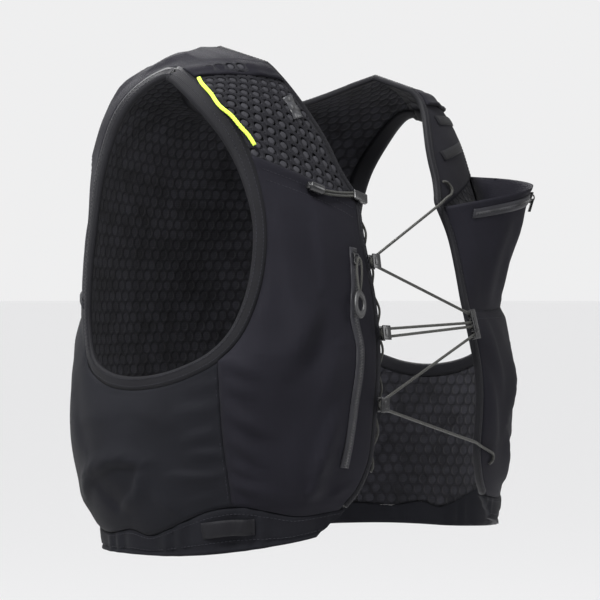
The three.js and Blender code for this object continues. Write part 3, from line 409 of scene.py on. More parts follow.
# %% Materials
class Paint:
    """A material with short calls for its nodes."""

    def __init__(self, name, roughness=0.8, sheen=0.0, specular=0.5):
        self.material = bpy.data.materials.new(name)
        self.material.use_nodes = True
        self.tree = self.material.node_tree
        self.shader = self.tree.nodes["Principled BSDF"]
        self.shader.inputs["Roughness"].default_value = roughness
        self.shader.inputs["Sheen Weight"].default_value = sheen
        self.shader.inputs["Sheen Roughness"].default_value = 0.45
        self.shader.inputs["Specular IOR Level"].default_value = specular
        self.uv = None

    def node(self, kind, **settings):
        made = self.tree.nodes.new(kind)
        for key, value in settings.items():
            setattr(made, key, value)
        return made

    def put(self, socket, value):
        if isinstance(value, bpy.types.NodeSocket):
            self.tree.links.new(value, socket)
        else:
            socket.default_value = value

    def math(self, operation, a, b=0.0, clamp=False):
        made = self.node("ShaderNodeMath", operation=operation, use_clamp=clamp)
        self.put(made.inputs[0], a)
        self.put(made.inputs[1], b)
        return made.outputs[0]

    def place(self):
        """The two lengths of the UV map, in metres."""
        if self.uv is None:
            layer = self.node("ShaderNodeUVMap", uv_map="metres")
            split = self.node("ShaderNodeSeparateXYZ")
            self.put(split.inputs[0], layer.outputs[0])
            self.uv = (split.outputs[0], split.outputs[1])
        return self.uv

    def noise(self, size, detail=3.0, stretch=(1, 1, 1)):
        where = self.node("ShaderNodeTexCoord").outputs["Object"]
        scale = self.node("ShaderNodeMapping")
        scale.inputs["Scale"].default_value = stretch
        self.put(scale.inputs["Vector"], where)
        made = self.node("ShaderNodeTexNoise")
        made.inputs["Scale"].default_value = 1 / size
        made.inputs["Detail"].default_value = detail
        self.put(made.inputs["Vector"], scale.outputs[0])
        return made.outputs["Fac"]

    def band(self, value, low, high):
        """Smooth step of a value from low to high."""
        made = self.node("ShaderNodeMapRange", interpolation_type="SMOOTHSTEP")
        self.put(made.inputs["Value"], value)
        made.inputs["From Min"].default_value = low
        made.inputs["From Max"].default_value = high
        return made.outputs["Result"]

    def wave(self, value, pitch, phase=0.0):
        turns = self.math("MULTIPLY", value, 2 * math.pi / pitch)
        return self.math("SINE", self.math("ADD", turns, phase))

    def cells(self, pitch):
        """Distance to the nearest point of a honeycomb, in pitches."""
        u, v = self.place()
        parts = []
        for shift in (0.0, 0.5):
            a = self.math("FRACT", self.math("ADD", self.math("DIVIDE", u, pitch), shift))
            tall = pitch * math.sqrt(3)
            b = self.math("FRACT", self.math("ADD", self.math("DIVIDE", v, tall), shift))
            a = self.math("SUBTRACT", a, 0.5)
            b = self.math("MULTIPLY", self.math("SUBTRACT", b, 0.5), math.sqrt(3))
            total = self.math("ADD", self.math("POWER", a, 2.0), self.math("POWER", b, 2.0))
            parts.append(self.math("SQRT", total))
        return self.math("MINIMUM", *parts)

    def colour(self, value, dark, light):
        made = self.node("ShaderNodeMix", data_type="RGBA")
        self.put(made.inputs["Factor"], value)
        made.inputs["A"].default_value = (*dark, 1)
        made.inputs["B"].default_value = (*light, 1)
        self.tree.links.new(made.outputs["Result"], self.shader.inputs["Base Color"])

    def relief(self, height, distance, strength=1.0):
        made = self.node("ShaderNodeBump")
        made.inputs["Distance"].default_value = distance
        made.inputs["Strength"].default_value = strength
        self.put(made.inputs["Height"], height)
        previous = self.shader.inputs["Normal"].links
        if previous:
            self.tree.links.new(previous[0].from_socket, made.inputs["Normal"])
        self.tree.links.new(made.outputs[0], self.shader.inputs["Normal"])


def weave(paint, pitch, depth, slant=0.0):
    """Plain woven threads, up and across."""
    u, v = paint.place()
    over = paint.math("MULTIPLY", paint.wave(u, pitch), paint.wave(v, pitch, slant))
    paint.relief(over, depth, 0.8)
    return over


def stretch_cloth(name, dark, light, sheen=0.008):
    paint = Paint(name, 0.8, sheen, 0.06)
    threads = weave(paint, 0.9 * MM, 0.06 * MM)
    u, v = paint.place()
    rib = paint.math("MAXIMUM", paint.band(paint.wave(u, 5 * MM), 0.97, 1.0),
                     paint.band(paint.wave(v, 5 * MM), 0.97, 1.0))
    cloudy = paint.noise(45 * MM, 4)
    mixed = paint.math("ADD", paint.math("MULTIPLY", threads, 0.1), paint.math("MULTIPLY", rib, 0.3))
    paint.colour(paint.math("ADD", mixed, cloudy, clamp=True), dark, light)
    paint.relief(paint.noise(7 * MM, 3), 0.25 * MM, 0.6)
    return paint.material


def spacer_mesh():
    paint = Paint("spacer_mesh_knit", 0.85, 0.02, 0.12)
    distance = paint.cells(9.5 * MM)
    pad = paint.band(distance, 0.47, 0.3)
    u, v = paint.place()
    rib = paint.wave(u, 1.1 * MM)
    stitch = paint.wave(v, 1.5 * MM)
    rough = paint.noise(3 * MM, 3)
    fine = paint.math("ADD", paint.math("MULTIPLY", rib, 0.16), paint.math("MULTIPLY", stitch, 0.08))
    patchy = paint.noise(16 * MM, 4)
    # The raised cells are painted lighter and the hollows between them darker, a painted highlight on the
    # cell tops and painted shade in the hollows, mixed with a random tone from noise
    tone_and_painted_highlight = paint.math("ADD", paint.math("MULTIPLY", pad, 0.45), paint.math("MULTIPLY", rough, 0.5))
    tone_and_painted_highlight = paint.math("MULTIPLY", tone_and_painted_highlight, paint.band(patchy, 0.2, 0.75))
    paint.colour(paint.math("ADD", tone_and_painted_highlight, fine, clamp=True), (0.0016, 0.0016, 0.0024),
                 (0.0145, 0.0145, 0.0185))
    paint.relief(fine, 0.5 * MM, 0.8)
    paint.relief(paint.noise(2.2 * MM, 3), 0.7 * MM, 0.6)
    paint.relief(pad, 1.3 * MM, 0.8)
    return paint.material


def tape_cloth(name, dark, light, pitch=1.2 * MM, roughness=0.62):
    paint = Paint(name, roughness, 0.008, 0.09)
    u, v = paint.place()
    ribs = paint.math("MULTIPLY", paint.wave(u, pitch), 0.5)
    cross = paint.math("MULTIPLY", paint.wave(v, pitch * 0.7), 0.35)
    knit = paint.math("ADD", ribs, cross)
    paint.colour(paint.math("ADD", paint.math("MULTIPLY", knit, 0.3), paint.noise(20 * MM), clamp=True),
                 dark, light)
    paint.relief(knit, 0.12 * MM, 0.7)
    return paint.material


def braid(name, dark, light, diameter, roughness=0.6, sheen=0.03):
    paint = Paint(name, roughness, sheen, 0.22)
    u, v = paint.place()
    around = math.pi * diameter / 6
    a = paint.wave(paint.math("ADD", u, v), around)
    b = paint.wave(paint.math("SUBTRACT", u, v), around)
    plait = paint.math("MULTIPLY", a, b)
    paint.colour(paint.math("ADD", paint.math("MULTIPLY", plait, 0.45), 0.5, clamp=True), dark, light)
    paint.relief(plait, 0.25 * MM, 0.9)
    return paint.material


def moulded(name, dark, light, roughness, grain=0.3 * MM):
    paint = Paint(name, roughness, 0.0, 0.3)
    speckle = paint.noise(grain, 2)
    paint.colour(paint.band(paint.noise(6 * MM, 4), 0.35, 0.7), dark, light)
    paint.relief(speckle, 0.03 * MM, 0.5)
    rough = paint.math("ADD", paint.math("MULTIPLY", paint.noise(9 * MM), 0.2), roughness - 0.1)
    paint.tree.links.new(rough, paint.shader.inputs["Roughness"])
    return paint.material


materials = {
    "spacer_mesh": spacer_mesh(),
    "stretch_cloth": stretch_cloth("stretch_cloth_weave", (0.0023, 0.0022, 0.0035), (0.0052, 0.005, 0.0074)),
    "pocket_cloth": stretch_cloth("pocket_cloth_weave", (0.0021, 0.0022, 0.0031), (0.0047, 0.0049, 0.0066)),
    "open_net": tape_cloth("open_net_knit", (0.0026, 0.0026, 0.0037), (0.0062, 0.0062, 0.008), 1.4 * MM,
                           0.75),
    "binding": tape_cloth("binding_knit", (0.0014, 0.0014, 0.0021), (0.0034, 0.0034, 0.0047), 0.9 * MM),
    "thread": tape_cloth("stitch_thread", (0.006, 0.006, 0.008), (0.014, 0.014, 0.018), 0.4 * MM),
    "pad_knit": tape_cloth("pad_knit", (0.009, 0.009, 0.0105), (0.025, 0.025, 0.029), 1.1 * MM, 0.85),
    "zip_weave": tape_cloth("zip_weave", (0.004, 0.004, 0.005), (0.016, 0.016, 0.019), 0.8 * MM, 0.45),
    "zip_coil": moulded("zip_coil_plastic", (0.007, 0.007, 0.008), (0.022, 0.022, 0.024), 0.34),
    "plastic": moulded("fitting_plastic", (0.003, 0.003, 0.0036), (0.0075, 0.0075, 0.008), 0.26),
    "soft_rubber": moulded("grip_rubber", (0.006, 0.006, 0.0065), (0.012, 0.012, 0.013), 0.5),
    "grey_cord": braid("lace_braid", (0.007, 0.007, 0.0062), (0.032, 0.032, 0.028), 2.2 * MM),
    "lime_cord": braid("lime_braid", (0.34, 0.52, 0.03), (0.62, 0.84, 0.09), 3 * MM, 0.5),
    "shiny_trim": moulded("reflective_trim", (0.009, 0.009, 0.01), (0.022, 0.0225, 0.025), 0.32, 0.8 * MM),
}
print(len(materials), "materials")

# %% [markdown]
# ## Cloth, bands, cords and stitches
# `cloth` closes a sheet over grids of spots, `band` sweeps a rounded profile beside a line,
# `tube` follows points, and `stitches` lays short threads along a line.

# %% Makers
turn_axis = np.arange(0, 181.0)
level_axis = np.linspace(0, 1, 101)
lattice = np.stack(np.meshgrid(turn_axis, level_axis, indexing="ij"), axis=-1)
by_turn, by_level, _ = slopes(lattice)
turn_run = np.cumsum(np.linalg.norm(by_turn, axis=-1), axis=0)
turn_run -= turn_run[90]
level_run = np.cumsum(np.linalg.norm(by_level, axis=-1), axis=1) * 0.01


def metres(spots, from_back=False):
    """Lengths over the form: across from the side or the middle of the back, and up from the hem."""
    turn = np.clip(np.abs(spots[..., 0]), 0, 180)
    level = np.clip(spots[..., 1], 0, 1) * 100
    i = np.clip(turn.astype(int), 0, 179)
    j = np.clip(level.astype(int), 0, 99)
    a, b = turn - i, level - j

    def blend(values):
        low = values[i, j] * (1 - a) + values[i + 1, j] * a
        high = values[i, j + 1] * (1 - a) + values[i + 1, j + 1] * a
        return low * (1 - b) + high * b

    aside = blend(turn_run - turn_run[180]) if from_back else blend(turn_run)
    return np.stack([aside * np.sign(spots[..., 0]), blend(level_run)], axis=-1)


def finish_piece(name, verts, faces, uvs, material, replaces=(), smooth=True):
    mesh = bpy.data.meshes.new(name)
    mesh.from_pydata([tuple(map(float, v)) for v in verts], [], faces)
    layer = mesh.uv_layers.new(name="metres")
    flat_uv = np.zeros((len(mesh.loops), 2))
    index = np.zeros(len(mesh.loops), dtype=np.int64)
    mesh.loops.foreach_get("vertex_index", index)
    flat_uv[:] = np.asarray(uvs)[index]
    layer.data.foreach_set("uv", flat_uv.ravel())
    mesh.materials.append(materials[material])
    piece = bpy.data.objects.new(name, mesh)
    bpy.context.collection.objects.link(piece)
    if smooth:
        mesh.shade_smooth()
    settle(piece, replaces)
    return piece


def settle(piece, replaces=()):
    """Every piece rides on the one body and stands for its frame nodes."""
    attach(piece, "root")
    if replaces:
        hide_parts(*replaces)


def cloth(name, layers, material, replaces=(), from_back=False):
    """A closed sheet over grids; each layer is spots with a low and a high lift."""
    places, low, high, uvs, quads = {}, [], [], [], []
    for spots, under, over in layers:
        spots = np.asarray(spots, float)
        below = lifted(spots, np.broadcast_to(under, spots.shape[:2]))
        above = lifted(spots, np.broadcast_to(over, spots.shape[:2]))
        laid = metres(spots, from_back)
        number = np.zeros(spots.shape[:2], dtype=int)
        for row in range(spots.shape[0]):
            for column in range(spots.shape[1]):
                key = tuple(np.round(below[row, column] * 2e4).astype(int))
                if key not in places:
                    places[key] = len(low)
                    low.append(below[row, column])
                    high.append(above[row, column])
                    uvs.append(laid[row, column])
                number[row, column] = places[key]
        mirrored = spots[0, 0, 0] < 0
        corners = np.stack([number[:-1, :-1], number[:-1, 1:], number[1:, 1:], number[1:, :-1]], axis=-1)
        if mirrored:
            corners = corners[..., ::-1]
        quads += corners.reshape(-1, 4).tolist()
    quads = [list(dict.fromkeys(quad)) for quad in quads]
    quads = [quad for quad in quads if len(quad) > 2]
    count = len(low)
    used = {(a, b) for quad in quads for a, b in zip(quad, quad[1:] + quad[:1])}
    walls = [[a, b, b + count, a + count] for a, b in used if (b, a) not in used]
    faces = [[i + count for i in quad] for quad in quads] + [quad[::-1] for quad in quads] + walls
    return finish_piece(name, low + high, faces, uvs + uvs, material, replaces)


def swept(name, rings, material, closed=False, replaces=(), uvs=None):
    """A tube from rings of points; open ones get end caps."""
    rings = np.asarray(rings, float)
    count, sides = rings.shape[:2]
    verts = rings.reshape(-1, 3)
    faces = []
    for row in range(count if closed else count - 1):
        after = (row + 1) % count
        for side in range(sides):
            beyond = (side + 1) % sides
            faces.append([row * sides + side, row * sides + beyond, after * sides + beyond,
                          after * sides + side])
    if not closed:
        faces.append(list(range(sides))[::-1])
        faces.append([(count - 1) * sides + side for side in range(sides)])
    a, b, c = verts[faces[0][0]], verts[faces[0][1]], verts[faces[0][2]]
    centre = rings[0].mean(axis=0)
    if np.dot(np.cross(b - a, c - b), (a + b) / 2 - centre) < 0:
        faces = [face[::-1] for face in faces]
    if uvs is None:
        middle = rings.mean(axis=1)
        run = np.concatenate([[0], np.cumsum(np.linalg.norm(np.diff(middle, axis=0), axis=1))])
        ring = np.linalg.norm(np.diff(rings[0], axis=0, append=rings[0][:1]), axis=1)
        around = np.concatenate([[0], np.cumsum(ring)[:-1]])
        uvs = np.stack(np.broadcast_arrays(around[None, :], run[:, None]), axis=-1).reshape(-1, 2)
    return finish_piece(name, verts, faces, uvs, material, replaces)


def band(name, edge, width, profile, material, closed=False, replaces=(), lift=0.0):
    """A rounded profile of (share across, height) swept beside a line."""
    inner = beside(edge, width, closed)
    profile = np.array(profile, float)
    share = profile[None, :, :1]
    spots = edge[:, None, :] * (1 - share) + inner[:, None, :] * share
    rings = lifted(spots, profile[None, :, 1] * MM + np.broadcast_to(lift, len(edge))[:, None])
    return swept(name, rings, material, closed, replaces)


def tube(name, points, diameter, material, sides=12, replaces=(), closed=False):
    points = np.asarray(points, float)
    along = np.gradient(points, axis=0) if not closed else np.roll(points, -1, 0) - np.roll(points, 1, 0)
    along /= np.linalg.norm(along, axis=1, keepdims=True)
    first = np.cross(along[0], [0.3, 0.5, 0.8])
    first /= np.linalg.norm(first)
    angles = np.arange(sides) * 2 * np.pi / sides
    rings = []
    for place, heading in zip(points, along):
        first = first - heading * np.dot(first, heading)
        first /= np.linalg.norm(first)
        second = np.cross(heading, first)
        rings.append(place + diameter / 2 * (np.cos(angles)[:, None] * first
                                             + np.sin(angles)[:, None] * second))
    return swept(name, rings, material, closed, replaces)


def resample(points, spacing):
    points = np.asarray(points, float)
    run = np.concatenate([[0], np.cumsum(np.linalg.norm(np.diff(points, axis=0), axis=1))])
    at = np.linspace(0, run[-1], max(2, int(run[-1] / spacing) + 1))
    return np.stack([np.interp(at, run, points[:, k]) for k in range(3)], axis=-1)


def stitches(name, lines, material="thread", pitch=3.0 * MM, length=2.0 * MM, thick=0.55 * MM):
    """Short rounded threads along lines of points with the cloth's normals."""
    verts, faces, uvs = [], [], []
    sides = 5
    profile = [(-0.5, 0.35), (-0.3, 1.0), (0.3, 1.0), (0.5, 0.35)]
    for points, normals in lines:
        run = np.concatenate([[0], np.cumsum(np.linalg.norm(np.diff(points, axis=0), axis=1))])
        for at in np.arange(pitch / 2, run[-1], pitch):
            centre, ahead, normal = (
                np.array([np.interp(x, run, values[:, k]) for k in range(3)])
                for x, values in ((at, points), (min(at + 0.5 * MM, run[-1]), points), (at, normals))
            )
            heading = ahead - centre
            if np.linalg.norm(heading) < 1e-7:
                continue
            heading /= np.linalg.norm(heading)
            side = np.cross(heading, normal)
            side /= np.linalg.norm(side)
            start = len(verts)
            for where, width in profile:
                for k in range(sides):
                    angle = 2 * math.pi * k / sides
                    offset = side * math.cos(angle) + normal * math.sin(angle)
                    verts.append(centre + heading * where * length + offset * width * thick / 2)
                    uvs.append((at, k * 0.1 * MM))
            for row in range(len(profile) - 1):
                for k in range(sides):
                    beyond = (k + 1) % sides
                    a, b = start + row * sides, start + (row + 1) * sides
                    faces.append([a + k, b + k, b + beyond, a + beyond])
            faces.append([start + k for k in range(sides)])
            last = start + (len(profile) - 1) * sides
            faces.append([last + k for k in range(sides)][::-1])
    return finish_piece(name, verts, faces, uvs, material, ())


def seam_points(line, lift):
    return lifted(line, lift), slopes(line)[2]


def tree_of(piece):
    mesh = piece.data
    return BVHTree.FromPolygons([v.co for v in mesh.vertices], [list(p.vertices) for p in mesh.polygons])


def face_at(tree, spot, reach=0.09):
    """Where a piece's face is met on the way in to a spot: place, normal and lift."""
    origin = Vector(lifted(spot, reach))
    normal = Vector(slopes(spot)[2])
    place, face, _, distance = tree.ray_cast(origin, -normal)
    if place is None:
        return Vector(lifted(spot, 3.5 * MM)), normal, 3.5 * MM
    return place, (face if face.dot(normal) > 0 else -face), reach - distance


def lifts_on(tree, line, least=0.0):
    return np.array([max(face_at(tree, spot)[2], least) for spot in line])


def frame_from(spot, lift, tree=None, tilt=0.0):
    """A matrix at a spot: y up the form, z off it, or off the face of a piece."""
    _, by_level, normal = slopes(spot)
    origin = Vector(lifted(spot, lift))
    normal = Vector(normal)
    if tree is not None:
        place, normal, _ = face_at(tree, spot)
        origin = place + normal * lift
    up = Vector(by_level)
    up = (up - normal * up.dot(normal)).normalized()
    side = up.cross(normal)
    matrix = Matrix((side, up, normal)).transposed().to_4x4() @ Matrix.Rotation(math.radians(tilt), 4, "Z")
    matrix.translation = origin
    return matrix


print("makers ready")

# %% [markdown]
# ## Panels
# The base layer is a knitted spacer mesh, seen all over the inside. The front panels carry the
# straps; the back panel is one piece.

# %% Panels
def sides(grid):
    return [grid, mirror(grid)]


def one(grid, side):
    return grid if side > 0 else mirror(grid)


def shares(grid):
    """How far along the rows and across the columns each spot lies."""
    rows, columns = grid.shape[:2]
    return np.meshgrid(np.linspace(0, 1, rows), np.linspace(0, 1, columns), indexing="ij")


def tucked(grid, foot=0.25 * MM, seam=0.12 * MM):
    """The grid with its foot and its seam edges drawn out, to close the hairline gaps."""
    out = grid.copy()

    def drawn(edge, beside_it, amount):
        gap = np.linalg.norm(form(edge) - form(beside_it), axis=-1, keepdims=True)
        return edge + (edge - beside_it) * amount / np.maximum(gap, 1e-6)

    out[:, 0] = drawn(grid[:, 0], grid[:, 1], seam)
    out[0] = drawn(grid[0], grid[1], foot)
    return out


names = {-1: "right", 1: "left"}
for side, word in names.items():
    cloth(f"front_mesh_{word}", [(one(tucked(front_grid), side), 0, 2 * MM)], "spacer_mesh",
          [f"front_panel_{word}"])
    cloth(f"side_mesh_{word}", [(one(tucked(side_grid), side), 0, 2 * MM)], "spacer_mesh",
          [f"side_panel_{word}"])
cloth("back_mesh", [(grid, 0, 2 * MM) for grid in sides(tucked(back_grid))], "spacer_mesh",
      ["back_panel"], True)

# %% [markdown]
# ## Covers and pockets
# Stretch cloth lies over the mesh, swells over each pocket, and carries the folds. A fold is a
# ridge between two spots: its height and breadth are in millimetres.

# %% Folds
fold_columns = ["side", "turn_a", "level_a", "turn_b", "level_b", "height", "breadth"]
folds = [
    # right front pocket: the crease that bounds the bulge beside the zip, and the long soft folds
    [-1, 41, 0.262, 44.5, 0.205, 2.4, 5.5], [-1, 44.5, 0.205, 46.8, 0.15, 3.0, 5.0],
    [-1, 46.8, 0.15, 47.6, 0.06, 3.2, 4.5], [-1, 52, 0.33, 46, 0.43, 1.8, 7],
    [-1, 49, 0.31, 44.5, 0.37, -1.5, 5],
    [-1, 56, 0.57, 50, 0.36, 1.4, 7], [-1, 46, 0.56, 43.5, 0.46, 1.2, 5], [-1, 60, 0.5, 59, 0.36, 1.1, 6],
    [-1, 41, 0.36, 45.5, 0.27, 1.6, 6], [-1, 52, 0.2, 50.5, 0.1, 1.6, 6], [-1, 61, 0.11, 53, 0.075, 2.0, 4],
    [-1, 52, 0.077, 47, 0.075, 1.6, 4], [-1, 38, 0.11, 43, 0.075, 1.4, 4],
    # puckers on both sides of the side seam
    [-1, 66, 0.335, 60, 0.318, 1.5, 3.2], [-1, 66, 0.3, 61.5, 0.285, 1.2, 2.8],
    [-1, 66, 0.255, 58.5, 0.225, 2.0, 3.6],
    [-1, 66, 0.215, 60, 0.178, 1.8, 3.4], [-1, 66, 0.17, 61, 0.15, 1.1, 2.8],
    [-1, 66, 0.135, 59, 0.115, 1.6, 3.2],
    [-1, 68, 0.31, 77, 0.3, 1.3, 3.2], [-1, 68, 0.27, 79, 0.26, 1.8, 3.6],
    [-1, 68, 0.235, 76, 0.218, 1.3, 3.0],
    [-1, 68, 0.195, 75, 0.19, 1.2, 3.0], [-1, 68, 0.15, 80, 0.152, 2.0, 3.4],
    [-1, 68, 0.118, 76, 0.105, 1.3, 3.0],
    # right side of the back pocket: the round fold over the hem and the pleat inside it
    [-1, 110, 0.1, 104, 0.15, 2.6, 5], [-1, 104, 0.15, 96, 0.172, 3.2, 5],
    [-1, 96, 0.172, 88, 0.17, 2.6, 4.5],
    [-1, 88.5, 0.16, 90.5, 0.118, 2.2, 3.6], [-1, 90.5, 0.118, 96, 0.085, 2.0, 3.6],
    [-1, 101, 0.11, 96, 0.08, -2.0, 5],
    [-1, 84, 0.1, 79, 0.075, 1.6, 3.2], [-1, 112, 0.235, 98, 0.245, 1.2, 7],
    [-1, 92, 0.26, 82, 0.235, 1.2, 5],
    [-1, 120, 0.32, 108, 0.2, -1.4, 8], [-1, 128, 0.12, 114, 0.085, 1.8, 5],
    # the left side, the same kind of folds in other places
    [1, 50, 0.33, 44, 0.24, 2.0, 7], [1, 66, 0.24, 58, 0.2, 1.8, 3.6], [1, 45, 0.2, 52, 0.09, 1.8, 6],
    [1, 66, 0.3, 60, 0.28, 1.4, 3.2], [1, 66, 0.16, 59, 0.13, 1.6, 3.4], [1, 68, 0.27, 78, 0.258, 1.7, 3.6],
    [1, 68, 0.2, 76, 0.19, 1.3, 3.2], [1, 68, 0.14, 79, 0.14, 1.8, 3.4], [1, 104, 0.14, 90, 0.165, 2.8, 5],
    [1, 90, 0.158, 93, 0.105, 2.0, 4], [1, 118, 0.28, 104, 0.2, 1.4, 8], [1, 60, 0.46, 55, 0.36, 1.4, 6],
    [1, 124, 0.13, 110, 0.095, 1.8, 5], [1, 33, 0.4, 37, 0.3, 1.2, 6], [1, 30, 0.3, 36, 0.2, 1.4, 6],
    [1, 46, 0.6, 52, 0.5, 1.8, 5], [1, 42, 0.56, 50, 0.44, 1.6, 5], [1, 56, 0.6, 54, 0.52, -1.4, 5],
    # the upper back, the shoulders and the back pocket
    [-1, 150, 0.6, 122, 0.72, 1.6, 8], [1, 152, 0.58, 124, 0.7, 1.6, 8], [-1, 128, 0.5, 120, 0.66, -1.2, 7],
    [1, 128, 0.52, 120, 0.66, -1.2, 7], [-1, 146, 0.84, 112, 0.87, 1.5, 7],
    [1, 146, 0.84, 112, 0.86, 1.5, 7],
    [-1, 104, 0.85, 84, 0.89, 2.0, 5], [-1, 100, 0.88, 86, 0.93, 1.4, 4.5], [1, 104, 0.86, 84, 0.9, 1.8, 5],
    [-1, 118, 0.8, 110, 0.86, 1.6, 5], [1, 118, 0.79, 110, 0.86, 1.4, 5],
    [-1, 168, 0.3, 138, 0.25, 2.0, 8], [1, 172, 0.33, 140, 0.27, 1.8, 8], [-1, 152, 0.13, 128, 0.18, 1.8, 7],
    [1, 156, 0.12, 132, 0.17, 1.8, 7], [-1, 176, 0.1, 160, 0.09, 1.4, 5], [1, 150, 0.38, 128, 0.33, 1.3, 6],
    [-1, 148, 0.4, 126, 0.35, 1.3, 6], [1, 178, 0.2, 160, 0.24, -1.4, 8],
]
fold_table = table(fold_columns, folds)
FOLD_STRENGTH = 1.6


def fold_lift(spots):
    """Height of all the folds at each spot, in metres, with a faint unevenness of the cloth."""
    places, normals = form(spots), slopes(spots)[2]
    height = np.zeros(places.shape[:-1])
    for k in range(len(folds)):
        side = fold_table["side"][k]
        ends = np.array([[side * fold_table["turn_a"][k], fold_table["level_a"][k]],
                         [side * fold_table["turn_b"][k], fold_table["level_b"][k]]])
        start, end = form(ends)
        along = end - start
        t = np.clip((places - start) @ along / np.dot(along, along), 0, 1)
        offset = places - start - t[..., None] * along
        steep = np.sum(np.cross(normals, along) * offset, axis=-1) * side > 0
        breadth = fold_table["breadth"][k] * MM * np.where(steep, 0.75, 2.0)
        fade = 0.25 + 0.75 * np.sin(np.pi * (0.1 + 0.8 * t))
        distance = np.linalg.norm(offset, axis=-1) / breadth
        height += FOLD_STRENGTH * fold_table["height"][k] * MM * fade * np.exp(-(distance**2))
    x, y, z = (places[..., k] / MM for k in range(3))
    uneven = np.sin(x / 17 + np.sin(z / 23) * 1.7) * np.sin(z / 21 + np.sin(y / 19) * 1.9 + 0.6)
    uneven = uneven + 0.5 * np.sin(z / 9 + x / 13 + 2 * np.sin(y / 15)) * np.sin(y / 11 + x / 17)
    return height + 0.5 * MM * uneven


# %% Covers and pockets
COVER, WALL = 2.3 * MM, 1.2 * MM


def calm(along, across, edge=0.06):
    """Folds fade out at the seams."""
    return smoothstep(along, 0, edge) * smoothstep(1 - along, 0, edge) * (
        smoothstep(across, 0, edge) * smoothstep(1 - across, 0, edge))


def rolled(share, across, width=0.02):
    """A doubled hem along an edge: a little thicker, with a groove beside it."""
    groove = np.exp(-(((share - 1.4 * width) / (0.4 * width)) ** 2))
    ends = smoothstep(across, 0, 0.05) * smoothstep(1 - across, 0, 0.05)
    return (0.9 * MM * (share < width) - 0.3 * MM * groove) * ends


def arm_row(row):
    return SEAM_ROWS + FORE_COUNT - int(row * STEPS)


MOUTH, CHEST, FLAP = arm_row(3.5), arm_row(6.5), arm_row(0.5)


def front_pocket_lift(spots, along, across, depth):
    pillow = hump(across) ** 0.6 * hump(along) ** 0.6
    return (COVER + pillow * (depth + 0.4 * np.maximum(fold_lift(spots), 0))
            + fold_lift(spots) * calm(along, across))


grid = one(front_grid[: MOUTH + 1], -1)
along, across_share = shares(grid)
base = front_pocket_lift(grid, along, across_share, 9 * MM)
edge = rolled(1 - along, across_share, 0.03)
front_pocket = cloth("front_pocket_cloth_right", [(tucked(grid), base, base + WALL + edge)], "stretch_cloth",
                     ["front_pocket_right"])
front_tree = tree_of(front_pocket)

grid = front_grid[: CHEST + 1]
along, across_share = shares(grid)
base = front_pocket_lift(grid, along, across_share, 4 * MM)
lower_pocket = cloth("lower_pocket_cloth_left", [(tucked(grid), base, base + WALL)], "stretch_cloth",
                     ["lower_pocket_left"])
lower_tree = tree_of(lower_pocket)

# The chest pocket gapes: its mouth stands off the strap
chest_grid = front_grid[CHEST : MOUTH + 1].copy()
along, across_share = shares(chest_grid)
chest_open = hump(across_share**0.65) ** 0.8 * along**1.2
chest_lift = 50 * MM * chest_open
chest_grid = moved(chest_grid, np.array([0, 0, -20 * MM]) * chest_open[..., None])
ripple = 1.2 * MM * np.sin(across_share * 21 + 1) * hump(along) * hump(across_share)
base = COVER + chest_lift + ripple + fold_lift(chest_grid) * calm(along, across_share) * 0.6
chest_pocket = cloth("chest_pocket_cloth_left", [(chest_grid, base,
                                                  base + WALL + rolled(1 - along, across_share, 0.04))],
                     "stretch_cloth", ["chest_pocket_left"])
chest_tree = tree_of(chest_pocket)

strap_grid = front_grid[MOUTH : FLAP + 1]
along, across_share = shares(strap_grid)
base = COVER + fold_lift(strap_grid) * calm(along, across_share) * 0.5
strap_cover = cloth("strap_cloth_left", [(strap_grid, base, base + WALL)], "stretch_cloth",
                    ["strap_cover_left"])
strap_tree = tree_of(strap_cover)

# Back pocket, from side seam to side seam, its mouth open across the back
pocket_top = table(
    ["turn", "level"],
    [[60, 0.36], [68, 0.335], [80, 0.3], [96, 0.285], [106, 0.297], [116, 0.345], [130, 0.4],
     [150, 0.44], [180, 0.46]],
)
POCKET_TOP = SEAM_ROWS + 3 * STEPS // 2


def back_pocket_lift(spots):
    turn = np.abs(spots[..., 0])
    foot = hem_level(turn)
    share = np.clip((spots[..., 1] - foot) / (read(pocket_top, "turn", turn, "level") - foot), 0, 1)
    swell = 13 * MM * smoothstep(turn, FORE_TURN, 106) * hump(share) ** 0.7
    mouth = 8 * MM * smoothstep(turn, 122, 150) * smoothstep(share, 0.45, 1)
    seam = smoothstep(turn, FORE_TURN, FORE_TURN + 5)
    puckers = 0.5 * MM * np.sin(spots[..., 1] * 210) * np.exp(-((turn - FORE_TURN) / 6) ** 2) * hump(share)
    return COVER + swell + mouth + fold_lift(spots) * seam * hump(share) ** 0.4 + puckers


seam_column = back_grid[: SEAM_ROWS + 1, :1]
pocket_side = np.concatenate([side_grid[:, :-1], seam_column], axis=1)
pocket_back = back_grid[: POCKET_TOP + 1]
layers = []
for grid in sides(tucked(pocket_side, seam=0)) + sides(tucked(pocket_back, seam=0)):
    base = back_pocket_lift(grid)
    top = np.zeros(grid.shape[:2])
    if grid.shape[0] == pocket_back.shape[0]:
        top = top + rolled(1 - shares(grid)[0], 0.5, 0.03)
    layers.append((grid, base, base + WALL + top))
back_pocket = cloth("back_pocket_cloth", layers, "pocket_cloth", ["back_pocket"], True)
pocket_tree = tree_of(back_pocket)


# The yoke over the upper back and both shoulders, ending in the flap over the net pocket
OVERHANG = 5
yoke_grid = np.concatenate([back_grid[POCKET_TOP:LAST_BACK],
                            front_grid[FLAP - OVERHANG : LAST_FRONT + 1][::-1]])


